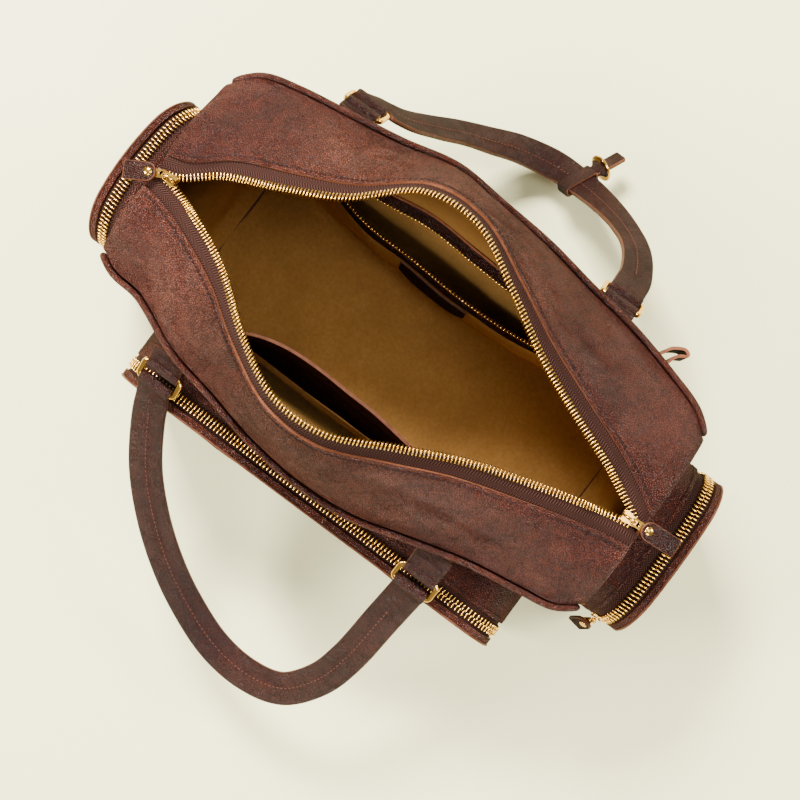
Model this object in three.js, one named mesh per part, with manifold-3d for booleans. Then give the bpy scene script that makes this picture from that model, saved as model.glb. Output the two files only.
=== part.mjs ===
// Leather boston bag standing open on its base: millimetres, +X to the right end, +Y to the back, +Z up.
import * as THREE from 'three';
import Module from 'manifold-3d';

const wasm = await Module();
wasm.setup();

// Body
const bodyHeight = 160;
const topLength = 346;
const baseLength = 332;
const baseDepth = 120;
const backReach = 105.5;
const frontReach = 103;
const baseCornerRadius = 20;
const leather = 1.8;
const panelLeather = 2;
const clearance = 0.35;

// Piping and top strips
const pipingRadius = 1.9;
const pipingProud = 0.6;
const edgeReach = 78;
const edgeRise = 53;
const stripRound = 5;

// Lining
const liningThickness = 0.9;
const liningSag = 6;
const liningGap = 3.6;
const liningEndGap = 2.8;

// Main zip
const tapeWidth = 11.3;
const tapeThickness = 0.7;
const teethWidth = 2.4;
const teethHeight = 2.4;
const teethEnd = 167.5;
const sliderSpot = 163.4;
const pullLengthLeft = 19;
const pullLengthRight = 23;
const pullWidth = 11;
const pocketPullLength = 17;

// Pockets
const pocketBase = 14;
const pocketTop = bodyHeight - 32;
const pocketSliderHeight = pocketTop - 44;
const chainWidth = 5.2;
const chainHeight = 2.2;
const faceLip = 5;
const chainToFace = 5.5;
const rimLeather = 1.6;
const endPocketWidthLeft = 106;
const endPocketWidthRight = 110;
const endPocketCentre = -4.5;
const endPocketCorner = 26;
const frontPocketLength = 279;
const frontPocketCentre = 8.5;
const frontPocketCorner = 22;
const frontChain = 103.6;
const frontRimMargin = 6.2;
const endChain = {
  left: { middle: 25, side: 18, rimMargin: 7, dome: 3.6 },
  right: { middle: 28.5, side: 26, rimMargin: 8.5, dome: 4 },
};

// Handles and rings
const strapWidth = 22;
const strapThickness = 3.6;
const frontHandleReach = 224;
const backHandleReach = 174;
const ringHeight = bodyHeight - 20;
const frontHandleDrop = 78;
const backHandleDrop = 117;
const ringLength = 29;
const ringWidth = 16;
const ringWire = 3.2;
const tabWidth = 22;
const loopInset = 51;
const loopHeight = 20;

// Inner pockets
const slipLeft = -112;
const slipRight = 92;
const slipTop = bodyHeight - 42;
const slipBand = 25;
const slipBulge = 42;
const innerLeft = -108;
const innerRight = 96;
const innerFree = bodyHeight * 0.5;
const innerWall = innerFree + 8;
const innerBulge = 20;
const patchLeft = -38;
const patchRight = 16;
const patchDepth = 26;

// Rows are sections from the left end to the right end. Pipe is the share of the reach of that side,
// edge the share of edgeReach, rise the share of edgeRise.
const backMouth = [
  { at: -0.5, pipe: 0.626, edge: 0.09, rise: 0.19 },
  { at: -0.46, pipe: 0.758, edge: 0.141, rise: 0.21 },
  { at: -0.4, pipe: 0.82, edge: 0.34, rise: 0.26 },
  { at: -0.3, pipe: 0.875, edge: 0.5, rise: 0.53 },
  { at: -0.2, pipe: 0.929, edge: 0.682, rise: 0.755 },
  { at: -0.1, pipe: 1, edge: 0.974, rise: 0.98 },
  { at: 0, pipe: 0.976, edge: 1, rise: 1 },
  { at: 0.1, pipe: 0.948, edge: 0.814, rise: 0.887 },
  { at: 0.2, pipe: 0.891, edge: 0.6, rise: 0.708 },
  { at: 0.3, pipe: 0.839, edge: 0.436, rise: 0.51 },
  { at: 0.4, pipe: 0.754, edge: 0.278, rise: 0.34 },
  { at: 0.46, pipe: 0.687, edge: 0.154, rise: 0.245 },
  { at: 0.5, pipe: 0.588, edge: 0.038, rise: 0.208 },
];
const frontMouth = [
  { at: -0.5, pipe: 0.602, edge: 0.192, rise: 0.2 },
  { at: -0.46, pipe: 0.665, edge: 0.218, rise: 0.245 },
  { at: -0.4, pipe: 0.689, edge: 0.301, rise: 0.38 },
  { at: -0.3, pipe: 0.83, edge: 0.494, rise: 0.585 },
  { at: -0.2, pipe: 0.9, edge: 0.769, rise: 0.83 },
  { at: -0.1, pipe: 0.971, edge: 0.968, rise: 0.98 },
  { at: 0, pipe: 1, edge: 0.974, rise: 0.962 },
  { at: 0.1, pipe: 0.976, edge: 0.782, rise: 0.811 },
  { at: 0.2, pipe: 0.883, edge: 0.581, rise: 0.68 },
  { at: 0.3, pipe: 0.791, edge: 0.436, rise: 0.53 },
  { at: 0.4, pipe: 0.733, edge: 0.308, rise: 0.38 },
  { at: 0.46, pipe: 0.694, edge: 0.244, rise: 0.265 },
  { at: 0.5, pipe: 0.602, edge: 0.218, rise: 0.21 },
];

// Rows run along a handle. Across is the share of the half length of the top, out the share of the
// reach from the ring to the apex, drop the share of the fall.
const frontArch = [
  { at: 0, across: -0.601, out: 0, drop: 0 },
  { at: 0.08, across: -0.572, out: 0.157, drop: 0.17 },
  { at: 0.17, across: -0.491, out: 0.38, drop: 0.36 },
  { at: 0.26, across: -0.383, out: 0.572, drop: 0.55 },
  { at: 0.35, across: -0.254, out: 0.74, drop: 0.73 },
  { at: 0.43, across: -0.116, out: 0.873, drop: 0.89 },
  { at: 0.52, across: 0.062, out: 0.984, drop: 1 },
  { at: 0.6, across: 0.227, out: 0.999, drop: 0.94 },
  { at: 0.68, across: 0.37, out: 0.93, drop: 0.82 },
  { at: 0.75, across: 0.455, out: 0.757, drop: 0.64 },
  { at: 0.83, across: 0.49, out: 0.55, drop: 0.45 },
  { at: 0.92, across: 0.503, out: 0.27, drop: 0.22 },
  { at: 1, across: 0.512, out: 0.06, drop: 0 },
];
const backArch = [
  { at: 0, across: -0.592, out: 0.02, drop: 0 },
  { at: 0.09, across: -0.485, out: 0.15, drop: 0.2 },
  { at: 0.17, across: -0.412, out: 0.33, drop: 0.41 },
  { at: 0.25, across: -0.332, out: 0.53, drop: 0.6 },
  { at: 0.34, across: -0.239, out: 0.71, drop: 0.77 },
  { at: 0.42, across: -0.13, out: 0.885, drop: 0.91 },
  { at: 0.51, across: 0.012, out: 1, drop: 1 },
  { at: 0.6, across: 0.15, out: 0.95, drop: 0.88 },
  { at: 0.68, across: 0.27, out: 0.845, drop: 0.72 },
  { at: 0.76, across: 0.374, out: 0.7, drop: 0.545 },
  { at: 0.84, across: 0.457, out: 0.51, drop: 0.365 },
  { at: 0.93, across: 0.506, out: 0.24, drop: 0.18 },
  { at: 1, across: 0.512, out: 0, drop: 0 },
];

// Reads a table column with a smooth cubic through its rows.
function along(rows, key, at) {
  const last = rows.length - 1;
  const t = Math.min(Math.max(at, rows[0].at), rows[last].at);
  let i = 0;
  while (i < last - 1 && t > rows[i + 1].at) i += 1;
  const slope = (k) => {
    const a = Math.max(k - 1, 0);
    const b = Math.min(k + 1, last);
    return (rows[b][key] - rows[a][key]) / (rows[b].at - rows[a].at);
  };
  const h = rows[i + 1].at - rows[i].at;
  const s = (t - rows[i].at) / h;
  const s2 = s * s;
  const s3 = s2 * s;
  return (2 * s3 - 3 * s2 + 1) * rows[i][key] + (s3 - 2 * s2 + s) * h * slope(i)
    + (3 * s2 - 2 * s3) * rows[i + 1][key] + (s3 - s2) * h * slope(i + 1);
}

const mix = (a, b, t) => a + (b - a) * t;
const add3 = (p, q, k = 1) => [p[0] + q[0] * k, p[1] + q[1] * k, p[2] + q[2] * k];
const cross3 = (a, b) => [
  a[1] * b[2] - a[2] * b[1],
  a[2] * b[0] - a[0] * b[2],
  a[0] * b[1] - a[1] * b[0],
];
const unit3 = (a) => {
  const l = Math.hypot(a[0], a[1], a[2]);
  return [a[0] / l, a[1] / l, a[2] / l];
};

// Turns points and triangles into a geometry whose faces look outwards.
function solid(points, faces) {
  let volume = 0;
  for (const [a, b, c] of faces) {
    const n = cross3(points[b], points[c]);
    volume += points[a][0] * n[0] + points[a][1] * n[1] + points[a][2] * n[2];
  }
  const geometry = new THREE.BufferGeometry();
  geometry.setAttribute('position', new THREE.Float32BufferAttribute(points.flat(), 3));
  geometry.setIndex(faces.flatMap(([a, b, c]) => (volume < 0 ? [a, c, b] : [a, b, c])));
  geometry.computeVertexNormals();
  return geometry;
}

// A sheet with thickness between two grids of points; loop joins the last column to the first.
function sheet(outer, inner, loop = false) {
  const rows = outer.length;
  const cols = outer[0].length;
  const points = [...outer.flat(), ...inner.flat()];
  const shift = rows * cols;
  const id = (i, j, side) => side * shift + i * cols + (j % cols);
  const faces = [];
  const quad = (a, b, c, d) => faces.push([a, b, c], [a, c, d]);
  const across = loop ? cols : cols - 1;
  for (let i = 0; i < rows - 1; i += 1) {
    for (let j = 0; j < across; j += 1) {
      quad(id(i, j, 0), id(i + 1, j, 0), id(i + 1, j + 1, 0), id(i, j + 1, 0));
      quad(id(i, j, 1), id(i, j + 1, 1), id(i + 1, j + 1, 1), id(i + 1, j, 1));
    }
  }
  for (let j = 0; j < across; j += 1) {
    quad(id(0, j, 0), id(0, j + 1, 0), id(0, j + 1, 1), id(0, j, 1));
    quad(id(rows - 1, j, 0), id(rows - 1, j, 1), id(rows - 1, j + 1, 1), id(rows - 1, j + 1, 0));
  }
  if (!loop) {
    for (let i = 0; i < rows - 1; i += 1) {
      quad(id(i, 0, 0), id(i, 0, 1), id(i + 1, 0, 1), id(i + 1, 0, 0));
      quad(id(i, cols - 1, 0), id(i + 1, cols - 1, 0), id(i + 1, cols - 1, 1), id(i, cols - 1, 1));
    }
  }
  return solid(points, faces);
}

// A solid through rings of points, either capped at both ends or closed on itself.
function loft(rings, closed = false) {
  const count = rings.length;
  const around = rings[0].length;
  const points = rings.flat();
  const faces = [];
  const id = (i, j) => (i % count) * around + (j % around);
  for (let i = 0; i < (closed ? count : count - 1); i += 1) {
    for (let j = 0; j < around; j += 1) {
      const far = id(i + 1, j + 1);
      faces.push([id(i, j), id(i + 1, j), far], [id(i, j), far, id(i, j + 1)]);
    }
  }
  if (!closed) {
    for (let j = 1; j < around - 1; j += 1) {
      faces.push([id(0, 0), id(0, j), id(0, j + 1)]);
      faces.push([id(count - 1, 0), id(count - 1, j + 1), id(count - 1, j)]);
    }
  }
  return solid(points, faces);
}

// A loft whose end faces may be hollowed outlines, for sections that are not convex. The first half of a
// section runs the other way along the body than the second, and so do the diagonals of its faces.
function loftOutline(rings, flat) {
  const count = rings.length;
  const around = rings[0].length;
  const faces = [];
  for (let i = 0; i < count - 1; i += 1) {
    for (let j = 0; j < around; j += 1) {
      const k = (j + 1) % around;
      const a = i * around;
      const b = (i + 1) * around;
      if (j < around / 2) faces.push([a + j, b + j, a + k], [b + j, b + k, a + k]);
      else faces.push([a + j, b + j, b + k], [a + j, b + k, a + k]);
    }
  }
  const flattened = (ring) => ring.map((p) => new THREE.Vector2(p[flat[0]], p[flat[1]]));
  const cap = (ring) => THREE.ShapeUtils.triangulateShape(flattened(ring), []);
  const turn = THREE.ShapeUtils.area(flattened(rings[0])) > 0;
  for (const [a, b, c] of cap(rings[0])) faces.push(turn ? [a, b, c] : [a, c, b]);
  const end = (count - 1) * around;
  for (const [a, b, c] of cap(rings[count - 1])) {
    faces.push(turn ? [end + a, end + c, end + b] : [end + a, end + b, end + c]);
  }
  return { points: rings.flat(), faces };
}

function toManifold(geometry) {
  const position = geometry.attributes.position;
  const mesh = new wasm.Mesh({
    numProp: 3,
    vertProperties: new Float32Array(position.array),
    triVerts: new Uint32Array(geometry.index.array),
  });
  return new wasm.Manifold(mesh);
}

function fromManifold(shape) {
  const mesh = shape.getMesh();
  const geometry = new THREE.BufferGeometry();
  const count = mesh.vertProperties.length / mesh.numProp;
  const points = new Float32Array(count * 3);
  for (let i = 0; i < count; i += 1) {
    for (let k = 0; k < 3; k += 1) points[i * 3 + k] = mesh.vertProperties[i * mesh.numProp + k];
  }
  geometry.setAttribute('position', new THREE.BufferAttribute(points, 3));
  geometry.setIndex(Array.from(mesh.triVerts));
  geometry.computeVertexNormals();
  return geometry;
}

// A box given by its centre, its three unit directions and its sizes along them.
function block(centre, axes, size) {
  const corners = [];
  for (const w of [-0.5, 0.5]) {
    const ring = [[-0.5, -0.5], [0.5, -0.5], [0.5, 0.5], [-0.5, 0.5]].map(([u, v]) => {
      let p = add3(centre, axes[0], u * size[0]);
      p = add3(p, axes[1], v * size[1]);
      return add3(p, axes[2], w * size[2]);
    });
    corners.push(ring);
  }
  return loft(corners);
}

// A round bar between two points.
function bar(from, to, radius, sides = 10) {
  const t = unit3(add3(to, from, -1));
  const n = unit3(cross3(t, Math.abs(t[2]) < 0.9 ? [0, 0, 1] : [1, 0, 0]));
  const b = cross3(t, n);
  const ring = (c) => Array.from({ length: sides }, (_, k) => {
    const a = (k / sides) * Math.PI * 2;
    return add3(add3(c, n, Math.cos(a) * radius), b, Math.sin(a) * radius);
  });
  return loft([ring(from), ring(to)]);
}

// A closed wire: the path lies in the plane of two directions, the section is round.
function wire(path, normal, radius, sides = 8) {
  const count = path.length;
  const rings = path.map((p, i) => {
    const t = unit3(add3(path[(i + 1) % count], path[(i + count - 1) % count], -1));
    const side = unit3(cross3(t, normal));
    return Array.from({ length: sides }, (_, k) => {
      const a = ((k + 0.5) / sides) * Math.PI * 2;
      return add3(add3(p, side, Math.cos(a) * radius), normal, Math.sin(a) * radius);
    });
  });
  return loft(rings, true);
}

// Body outline: half length at a height, and the depth of the front and back panels there.
const halfAt = (z) => mix(baseLength, topLength, z / bodyHeight) / 2;
const mouthAt = (side, key, x) => along(side > 0 ? backMouth : frontMouth, key, x / topLength);
const pipeAt = (side, x) => (side > 0 ? backReach : frontReach) * mouthAt(side, 'pipe', x);
const panelAt = (side, x, z) => {
  const share = Math.min(Math.max(z / bodyHeight, 0), 1) ** 0.9;
  return mix(baseDepth / 2, pipeAt(side, x), share);
};

// Section of a top strip at x, as depth (positive outwards) and height.
function strip(side, x) {
  const edge = [edgeReach * mouthAt(side, 'edge', x), bodyHeight + edgeRise * mouthAt(side, 'rise', x)];
  const foot = [pipeAt(side, x) + pipingProud - 2 * pipingRadius - 2 * clearance, bodyHeight];
  const run = [edge[0] - foot[0], edge[1] - foot[1]];
  const length = Math.hypot(run[0], run[1]);
  const c = [run[0] / length, run[1] / length];
  const n = [c[1], -c[0]];
  const risen = (edge[1] - bodyHeight) / edgeRise;
  const round = stripRound * (0.6 + 1.2 * risen - 1.3 * risen * risen);
  const point = (t, depth) => {
    const bulge = round * 4 * t * (1 - t);
    const d = round * 4 * (1 - 2 * t);
    const l = Math.hypot(length, d);
    const tangent = [(c[0] * length + n[0] * d) / l, (c[1] * length + n[1] * d) / l];
    const normal = [tangent[1], -tangent[0]];
    return [
      foot[0] + run[0] * t + n[0] * bulge - normal[0] * depth,
      foot[1] + run[1] * t + n[1] * bulge - normal[1] * depth,
    ];
  };
  const l = Math.hypot(length, 4 * round);
  const tangent = [(c[0] * length - n[0] * 4 * round) / l, (c[1] * length - n[1] * 4 * round) / l];
  return { edge, point, tangent };
}

// Centre of the teeth row of one side at x. The two rows meet at one height towards the ends.
const zipCentre = (x) => (strip(1, x).edge[0] - strip(-1, x).edge[0]) / 2;
const tapeDepth = leather + clearance;
function freeTeeth(side, x) {
  const s = strip(side, x);
  const start = s.point(1, tapeDepth + tapeThickness / 2);
  const limit = side * zipCentre(x) + teethWidth / 2 + clearance / 2;
  const y = Math.max(start[0] + s.tangent[0] * tapeWidth, limit);
  const reach = (y - start[0]) / s.tangent[0];
  return { s, start, centre: [y, start[1] + s.tangent[1] * reach] };
}
function teethAt(side, x) {
  const { s, start, centre } = freeTeeth(side, x);
  const end = Math.sign(x) * sliderSpot;
  const level = (freeTeeth(1, end).centre[1] + freeTeeth(-1, end).centre[1]) / 2;
  const near = Math.min(Math.max((Math.abs(x) - (sliderSpot - 30)) / 24, 0), 1);
  const z = mix(centre[1], level, near * near * (3 - 2 * near));
  const run = [centre[0] - start[0], z - start[1]];
  const reach = Math.hypot(run[0], run[1]);
  const tangent = [run[0] / reach, run[1] / reach];
  return { s, start, reach, tangent, normal: [tangent[1], -tangent[0]], centre: [centre[0], z] };
}

const stations = (from, to, count) => {
  return Array.from({ length: count }, (_, i) => mix(from, to, i / (count - 1)));
};
const place = (side, x, point) => [x, side * point[0], point[1]];

// Sections that the strips, the tapes, the teeth and the lining share, so that their faces run parallel.
const sharedShares = [-0.97, ...stations(-0.92, 0.92, 15), 0.97];
const shared = sharedShares.map((share) => (share * topLength) / 2);
const withEnds = (end) => [-end, ...shared.filter((x) => Math.abs(x) < end - 1), end];

// Front and back panels with rounded lower corners, inside the piping.
const pipingRoom = 2 * pipingRadius - pipingProud + clearance;
function panelGrid(side, lift) {
  const radius = baseCornerRadius - pipingRoom;
  const low = pipingRoom + 0.2;
  const high = bodyHeight - pipingRoom - 0.6;
  const heights = [low, low + 2, low + 8, low + radius, bodyHeight * 0.4, bodyHeight * 0.7, high - 5, high];
  return heights.map((z) => {
    const rise = Math.min(z - low, radius);
    const inset = radius - Math.sqrt(Math.max(radius * radius - (radius - rise) ** 2, 0));
    const half = halfAt(z) - pipingRoom - 0.4 - inset - (z === high ? 4 : 0);
    return stations(-half, half, 13).map((x) => [x, side * (panelAt(side, x, z) + lift), z]);
  });
}
const panel = (side) => sheet(panelGrid(side, 0), panelGrid(side, -panelLeather));

// What is set on a panel is cut to its outer face, a small gap away.
function fitToPanel(geometry, side) {
  const cutter = toManifold(sheet(panelGrid(side, clearance), panelGrid(side, -3 * panelLeather)));
  return fromManifold(toManifold(geometry).subtract(cutter));
}

// Outline of the body seen from the front, from the top of the left end round the base.
function bodyOutline(inset) {
  const points = [];
  const r = baseCornerRadius;
  for (const drop of [10, 60, 110]) {
    const z = bodyHeight - drop;
    points.push([-(halfAt(z) - inset), z]);
  }
  for (let k = 0; k <= 3; k += 1) {
    const a = (k / 3) * Math.PI / 2;
    const half = halfAt(r) - r;
    points.push([-(half + Math.cos(a) * (r - inset)), r - Math.sin(a) * (r - inset)]);
  }
  for (const share of [0.66, 0.33, 0]) points.push([-(halfAt(0) - r) * share, inset]);
  const mirrored = points.slice(0, -1).reverse().map(([x, z]) => [-x, z]);
  return [...points, ...mirrored];
}

// Gusset: both ends and the base in one band; its upper edges follow the underside of the top strips.
function gusset() {
  const shares = [-1, -0.64, -0.37, -0.07, 0.24, 0.62, 1];
  const reachAt = (side, x, z) => panelAt(side, x, z) + pipingProud - 2 * pipingRadius - clearance - 0.3;
  const topAt = (x, share) => {
    const side = share < 0 ? -1 : 1;
    const s = strip(side, x);
    const y = Math.abs(share) * reachAt(side, x, bodyHeight);
    const t = Math.min(Math.max((s.point(0, 0)[0] - y) / (s.point(0, 0)[0] - s.edge[0]), 0), 1);
    const margin = Math.abs(side * y - zipCentre(x)) < 28 ? 5 : leather + 0.5;
    return s.point(t, 0)[1] - margin;
  };
  const band = (inset) => {
    const line = bodyOutline(inset);
    const rowAt = ([x, z]) => shares.map((share) => [x, share * reachAt(Math.sign(share), x, z), z]);
    const end = (sign) => shares.map((share) => {
      const x = sign * (halfAt(bodyHeight) - inset);
      return [x, share * reachAt(Math.sign(share), x, bodyHeight), topAt(x, share)];
    });
    return [end(-1), ...line.map(rowAt), end(1)];
  };
  return sheet(band(0), band(panelLeather));
}

// Piping: a closed cord round the edge of a panel.
function piping(side) {
  const inset = pipingRadius;
  const low = bodyOutline(inset);
  const corner = 3.5;
  const end = halfAt(bodyHeight) - inset;
  const path = [
    ...low,
    [end, bodyHeight - inset - corner],
    [end - corner * 0.3, bodyHeight - inset - corner * 0.3],
    ...withEnds(end - corner).reverse().map((x) => [x, bodyHeight - inset]),
    [-(end - corner * 0.3), bodyHeight - inset - corner * 0.3],
    [-end, bodyHeight - inset - corner],
  ];
  const points = path.map(([x, z]) => [x, side * (panelAt(side, x, z) + pipingProud - pipingRadius), z]);
  return wire(points, [0, 1, 0], pipingRadius, 6);
}

function topStrip(side) {
  const xs = withEnds(topLength / 2);
  const shares = [0, 0.25, 0.5, 0.75, 1];
  const layer = (depth) => xs.map((x) => {
    const s = strip(side, x);
    return shares.map((t) => place(side, x, s.point(t, depth)));
  });
  return sheet(layer(0), layer(leather));
}

function zipTape(side) {
  const xs = withEnds(topLength / 2 - 1);
  const layer = (depth) => xs.map((x) => {
    const { s, reach, tangent } = teethAt(side, x);
    const rim = s.point(1, depth);
    const far = reach - teethWidth / 2 - clearance;
    return [
      place(side, x, s.point(0.75, depth)),
      place(side, x, rim),
      place(side, x, [rim[0] + tangent[0] * far, rim[1] + tangent[1] * far]),
    ];
  });
  return sheet(layer(tapeDepth), layer(tapeDepth + tapeThickness));
}

function zipTeeth(side) {
  const rings = withEnds(teethEnd).map((x) => {
    const { tangent, normal, centre } = teethAt(side, x);
    return [[-1, -1], [1, -1], [1, 1], [-1, 1]].map(([a, b]) => place(side, x, [
      centre[0] + tangent[0] * a * teethWidth / 2 + normal[0] * b * teethHeight / 2,
      centre[1] + tangent[1] * a * teethWidth / 2 + normal[1] * b * teethHeight / 2,
    ]));
  });
  return loft(rings);
}

// Depth of the lining's outer face at a height below the top strips.
const liningAt = (side, x, z) => {
  const sag = liningSag * Math.sin(Math.PI * Math.min(Math.max(z / bodyHeight, 0), 1));
  return panelAt(side, x, z) - panelLeather - 1.2 - sag;
};
const liningHeights = [bodyHeight * 0.75, bodyHeight * 0.4125, 10];

// Lining: an open pouch under the strips, down the walls and over the floor.
function lining() {
  const stripShares = [0.94, 0.75, 0.1];
  const floor = panelLeather + 1;
  const section = (x, extra, raise) => {
    const half = (side) => {
      const s = strip(side, x);
      const list = stripShares.map((t) => s.point(t, liningGap + extra));
      list.unshift(raise > 0 ? [list[0][0], list[0][1] + raise] : [1.5, list[0][1] - 3.5]);
      for (const z of liningHeights) list.push([liningAt(side, x, z) - extra, z]);
      list.push([liningAt(side, x, floor) - extra - 5, floor + extra]);
      return list.map((p) => place(side, x, p));
    };
    const back = half(1);
    const front = half(-1).reverse();
    return [...back, ...front];
  };
  const top = halfAt(bodyHeight);
  const body = (extra, raise) => {
    const places = withEnds(top - liningEndGap - extra);
    const rings = places.map((x) => section(x, extra, raise).map(([, y, z]) => {
      const round = baseCornerRadius - liningEndGap - extra;
      const low = Math.max(baseCornerRadius - z, 0);
      const inset = round - Math.sqrt(Math.max(round ** 2 - low ** 2, 0));
      const half = halfAt(Math.min(z, bodyHeight)) - liningEndGap - extra - inset;
      return [(x / (top - liningEndGap - extra)) * half, y, z];
    }));
    const { points, faces } = loftOutline(rings, [1, 2]);
    return toManifold(solid(points, faces));
  };
  return fromManifold(body(0, 0).subtract(body(liningThickness, 12)));
}

// Zip slider with a grip bridge, at the closed end of the teeth.
function mainSlider(sign) {
  const x = sign * sliderSpot;
  const y = zipCentre(x);
  const z = teethAt(1, x).centre[1];
  const axes = [[sign, 0, 0], [0, 1, 0], [0, 0, 1]];
  const gap = teethHeight / 2 + clearance;
  const plate = 1.3;
  const length = 2 * (teethEnd - sliderSpot);
  const wedgeAt = sliderSpot - length / 2 + 0.8;
  const parts = [
    block([x, y, z + gap + plate / 2], axes, [length, 9, plate]),
    block([x, y, z - gap - plate / 2], axes, [length, 9, plate]),
    block([sign * wedgeAt, zipCentre(sign * (wedgeAt - 1.3)), z], axes, [1.6, 1.4, 2 * gap + plate]),
    block([x, y, z + gap + plate + 3], axes, [7, 2.2, 1.2]),
    block([x - 2.9, y, z + gap + plate + 1.5], axes, [1.2, 2.2, 3.6]),
    block([x + 2.9, y, z + gap + plate + 1.5], axes, [1.2, 2.2, 3.6]),
  ].map(toManifold);
  const shape = parts.reduce((a, b) => a.add(b));
  return { geometry: fromManifold(shape), eye: [x + sign * 2.9, y, z + gap + plate + 1.15] };
}

// Pull: a brass link with a rivet and a leather tab round-ended at the link. The direction runs along
// the pull, the up direction is the face that carries the rivet head.
function pull(eye, along3, up, length, width) {
  const t = unit3(along3);
  const w = unit3(cross3(up, t));
  const n = cross3(t, w);
  const axes = [t, w, n];
  const thick = 2.4;
  const linkLength = 13;
  const rivetAt = 8.6;
  const tabStart = 4.4;
  const link = 0.8;
  let brass = toManifold(block(add3(eye, t, linkLength / 2 - 2), axes, [linkLength, 4.6, link]));
  const opening = toManifold(block(add3(eye, t, 0.7), axes, [3.8, 3, 4]));
  brass = brass.subtract(opening);
  const rivet = add3(eye, t, rivetAt);
  const seat = link / 2 + 0.25;
  const headAt = seat + thick + 0.25;
  brass = brass.add(toManifold(bar(rivet, add3(rivet, n, headAt + 0.4), 1.2, 6)));
  brass = brass.add(toManifold(bar(add3(rivet, n, headAt), add3(rivet, n, headAt + 0.9), 2.6, 8)));
  const outline = [];
  for (let k = 0; k <= 4; k += 1) {
    const a = Math.PI / 2 + (k / 4) * Math.PI;
    outline.push([tabStart + width / 2 * 0.9 + Math.cos(a) * width / 2 * 0.9, Math.sin(a) * width / 2]);
  }
  outline.push([tabStart + length, -width / 2], [tabStart + length, width / 2]);
  const ring = (h) => outline.map(([a, b]) => add3(add3(add3(eye, t, a), w, b), n, h));
  const tab = toManifold(loft([ring(seat), ring(seat + thick)]));
  const hole = toManifold(bar(add3(rivet, n, -1), add3(rivet, n, seat + thick + 1), 1.65, 6));
  return { link: fromManifold(brass), tab: fromManifold(tab.subtract(hole)) };
}

// Pocket slider on the outside of a chain end: a plate with a grip bridge. The out direction leaves the
// pocket, the run direction follows the chain.
function pocketSlider(spot, out, run) {
  const cross = cross3(out, run);
  const axes = [run, cross, out];
  const base = add3(spot, out, chainHeight + clearance);
  const at = (r, o) => add3(add3(base, out, o), run, r);
  const parts = [
    block(at(0, 0.65), axes, [9, 7, 1.3]),
    block(at(0, 4.7), axes, [6.6, 2, 1.1]),
    block(at(-2.7, 2.8), axes, [1.2, 2, 4]),
    block(at(2.7, 2.8), axes, [1.2, 2, 4]),
  ].map(toManifold);
  const geometry = fromManifold(parts.reduce((a, b) => a.add(b)));
  return { geometry, eye: at(-2.7, 2.7) };
}

// Pocket set on a wall. The pocket is described across the wall (a), in height (z) and away from the
// wall (d); layout gives the depth lines, and toWorld places a point.
function pocketOutline(centre, width, corner, inset) {
  const half = width / 2 - inset;
  const points = [];
  const low = pocketBase + inset;
  const high = pocketTop - inset;
  const bottom = 10 - Math.min(inset, 6);
  const r = corner - inset;
  const arc = (ca, cz, radius, from, steps) => {
    for (let k = 0; k <= steps; k += 1) {
      const a = from + (k / steps) * Math.PI / 2;
      points.push([ca + Math.cos(a) * radius, cz + Math.sin(a) * radius]);
    }
  };
  arc(centre + half - bottom, low + bottom, bottom, -Math.PI / 2, 2);
  points.push([centre + half, mix(low, high, 0.5)]);
  arc(centre + half - r, high - r, r, 0, 3);
  points.push([centre + half * 0.35, high], [centre, high], [centre - half * 0.35, high]);
  arc(centre - half + r, high - r, r, Math.PI / 2, 3);
  points.push([centre - half, mix(low, high, 0.5)]);
  arc(centre - half + bottom, low + bottom, bottom, Math.PI, 2);
  return points;
}

function pocket({ centre, width, corner, rimMargin, chainAt, wallAt, dome, toWorld }) {
  const outline = (inset) => pocketOutline(centre, width, corner, inset);
  const rimAt = (a, z) => chainAt(a, z) - rimMargin;
  const lipAt = (a, z) => chainAt(a, z) + chainToFace;
  const faceAt = (a, z) => lipAt(a, z) + faceLip;
  const band = (from, to, inset) => {
    const line = outline(inset);
    return [from, to].map((depth) => line.map(([a, z]) => toWorld(a, z, depth(a, z))));
  };
  const under = rimLeather + clearance;
  const rim = sheet(band(wallAt, rimAt, 0), band(wallAt, rimAt, rimLeather), true);
  const tapeFrom = (a, z) => rimAt(a, z) - 1.8;
  const tapeTo = (a, z) => lipAt(a, z) + 1.5;
  const tape = sheet(band(tapeFrom, tapeTo, under), band(tapeFrom, tapeTo, under + tapeThickness), true);

  // The chain runs up one side, over the top and down the other side.
  const line = outline(under - clearance);
  const chainPath = line.slice(3, line.length - 3);
  const chainRings = chainPath.map(([a, z], i) => {
    const before = chainPath[Math.max(i - 1, 0)];
    const after = chainPath[Math.min(i + 1, chainPath.length - 1)];
    const l = Math.hypot(after[0] - before[0], after[1] - before[1]);
    const n = [(after[1] - before[1]) / l, -(after[0] - before[0]) / l];
    return [[-1, 0], [1, 0], [1, 1], [-1, 1]].map(([d, h]) => toWorld(
      a + n[0] * h * chainHeight,
      z + n[1] * h * chainHeight,
      chainAt(a, z) + d * chainWidth / 2,
    ));
  });
  const chain = loft(chainRings);

  // Face: a dished panel with a turned edge; it is fullest at the middle.
  const middle = [centre, (pocketBase + pocketTop) / 2];
  const profile = [
    { shrink: 0, step: -faceLip, rise: 0 },
    { shrink: 0, step: -1.4, rise: 0 },
    { shrink: 0.04, step: 0, rise: 0.1 },
    { shrink: 0.45, step: 0, rise: 0.85 },
  ];
  const rows = (extra) => {
    const base = outline(extra);
    return profile.map(({ shrink, step, rise }) => base.map(([a, z]) => toWorld(
      mix(a, middle[0], shrink),
      mix(z, middle[1], shrink),
      faceAt(a, z) + step + rise * dome - (step === -faceLip ? 0 : extra),
    )));
  };
  return { rim, tape, chain, face: dish(rows(0), rows(rimLeather)) };
}

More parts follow.
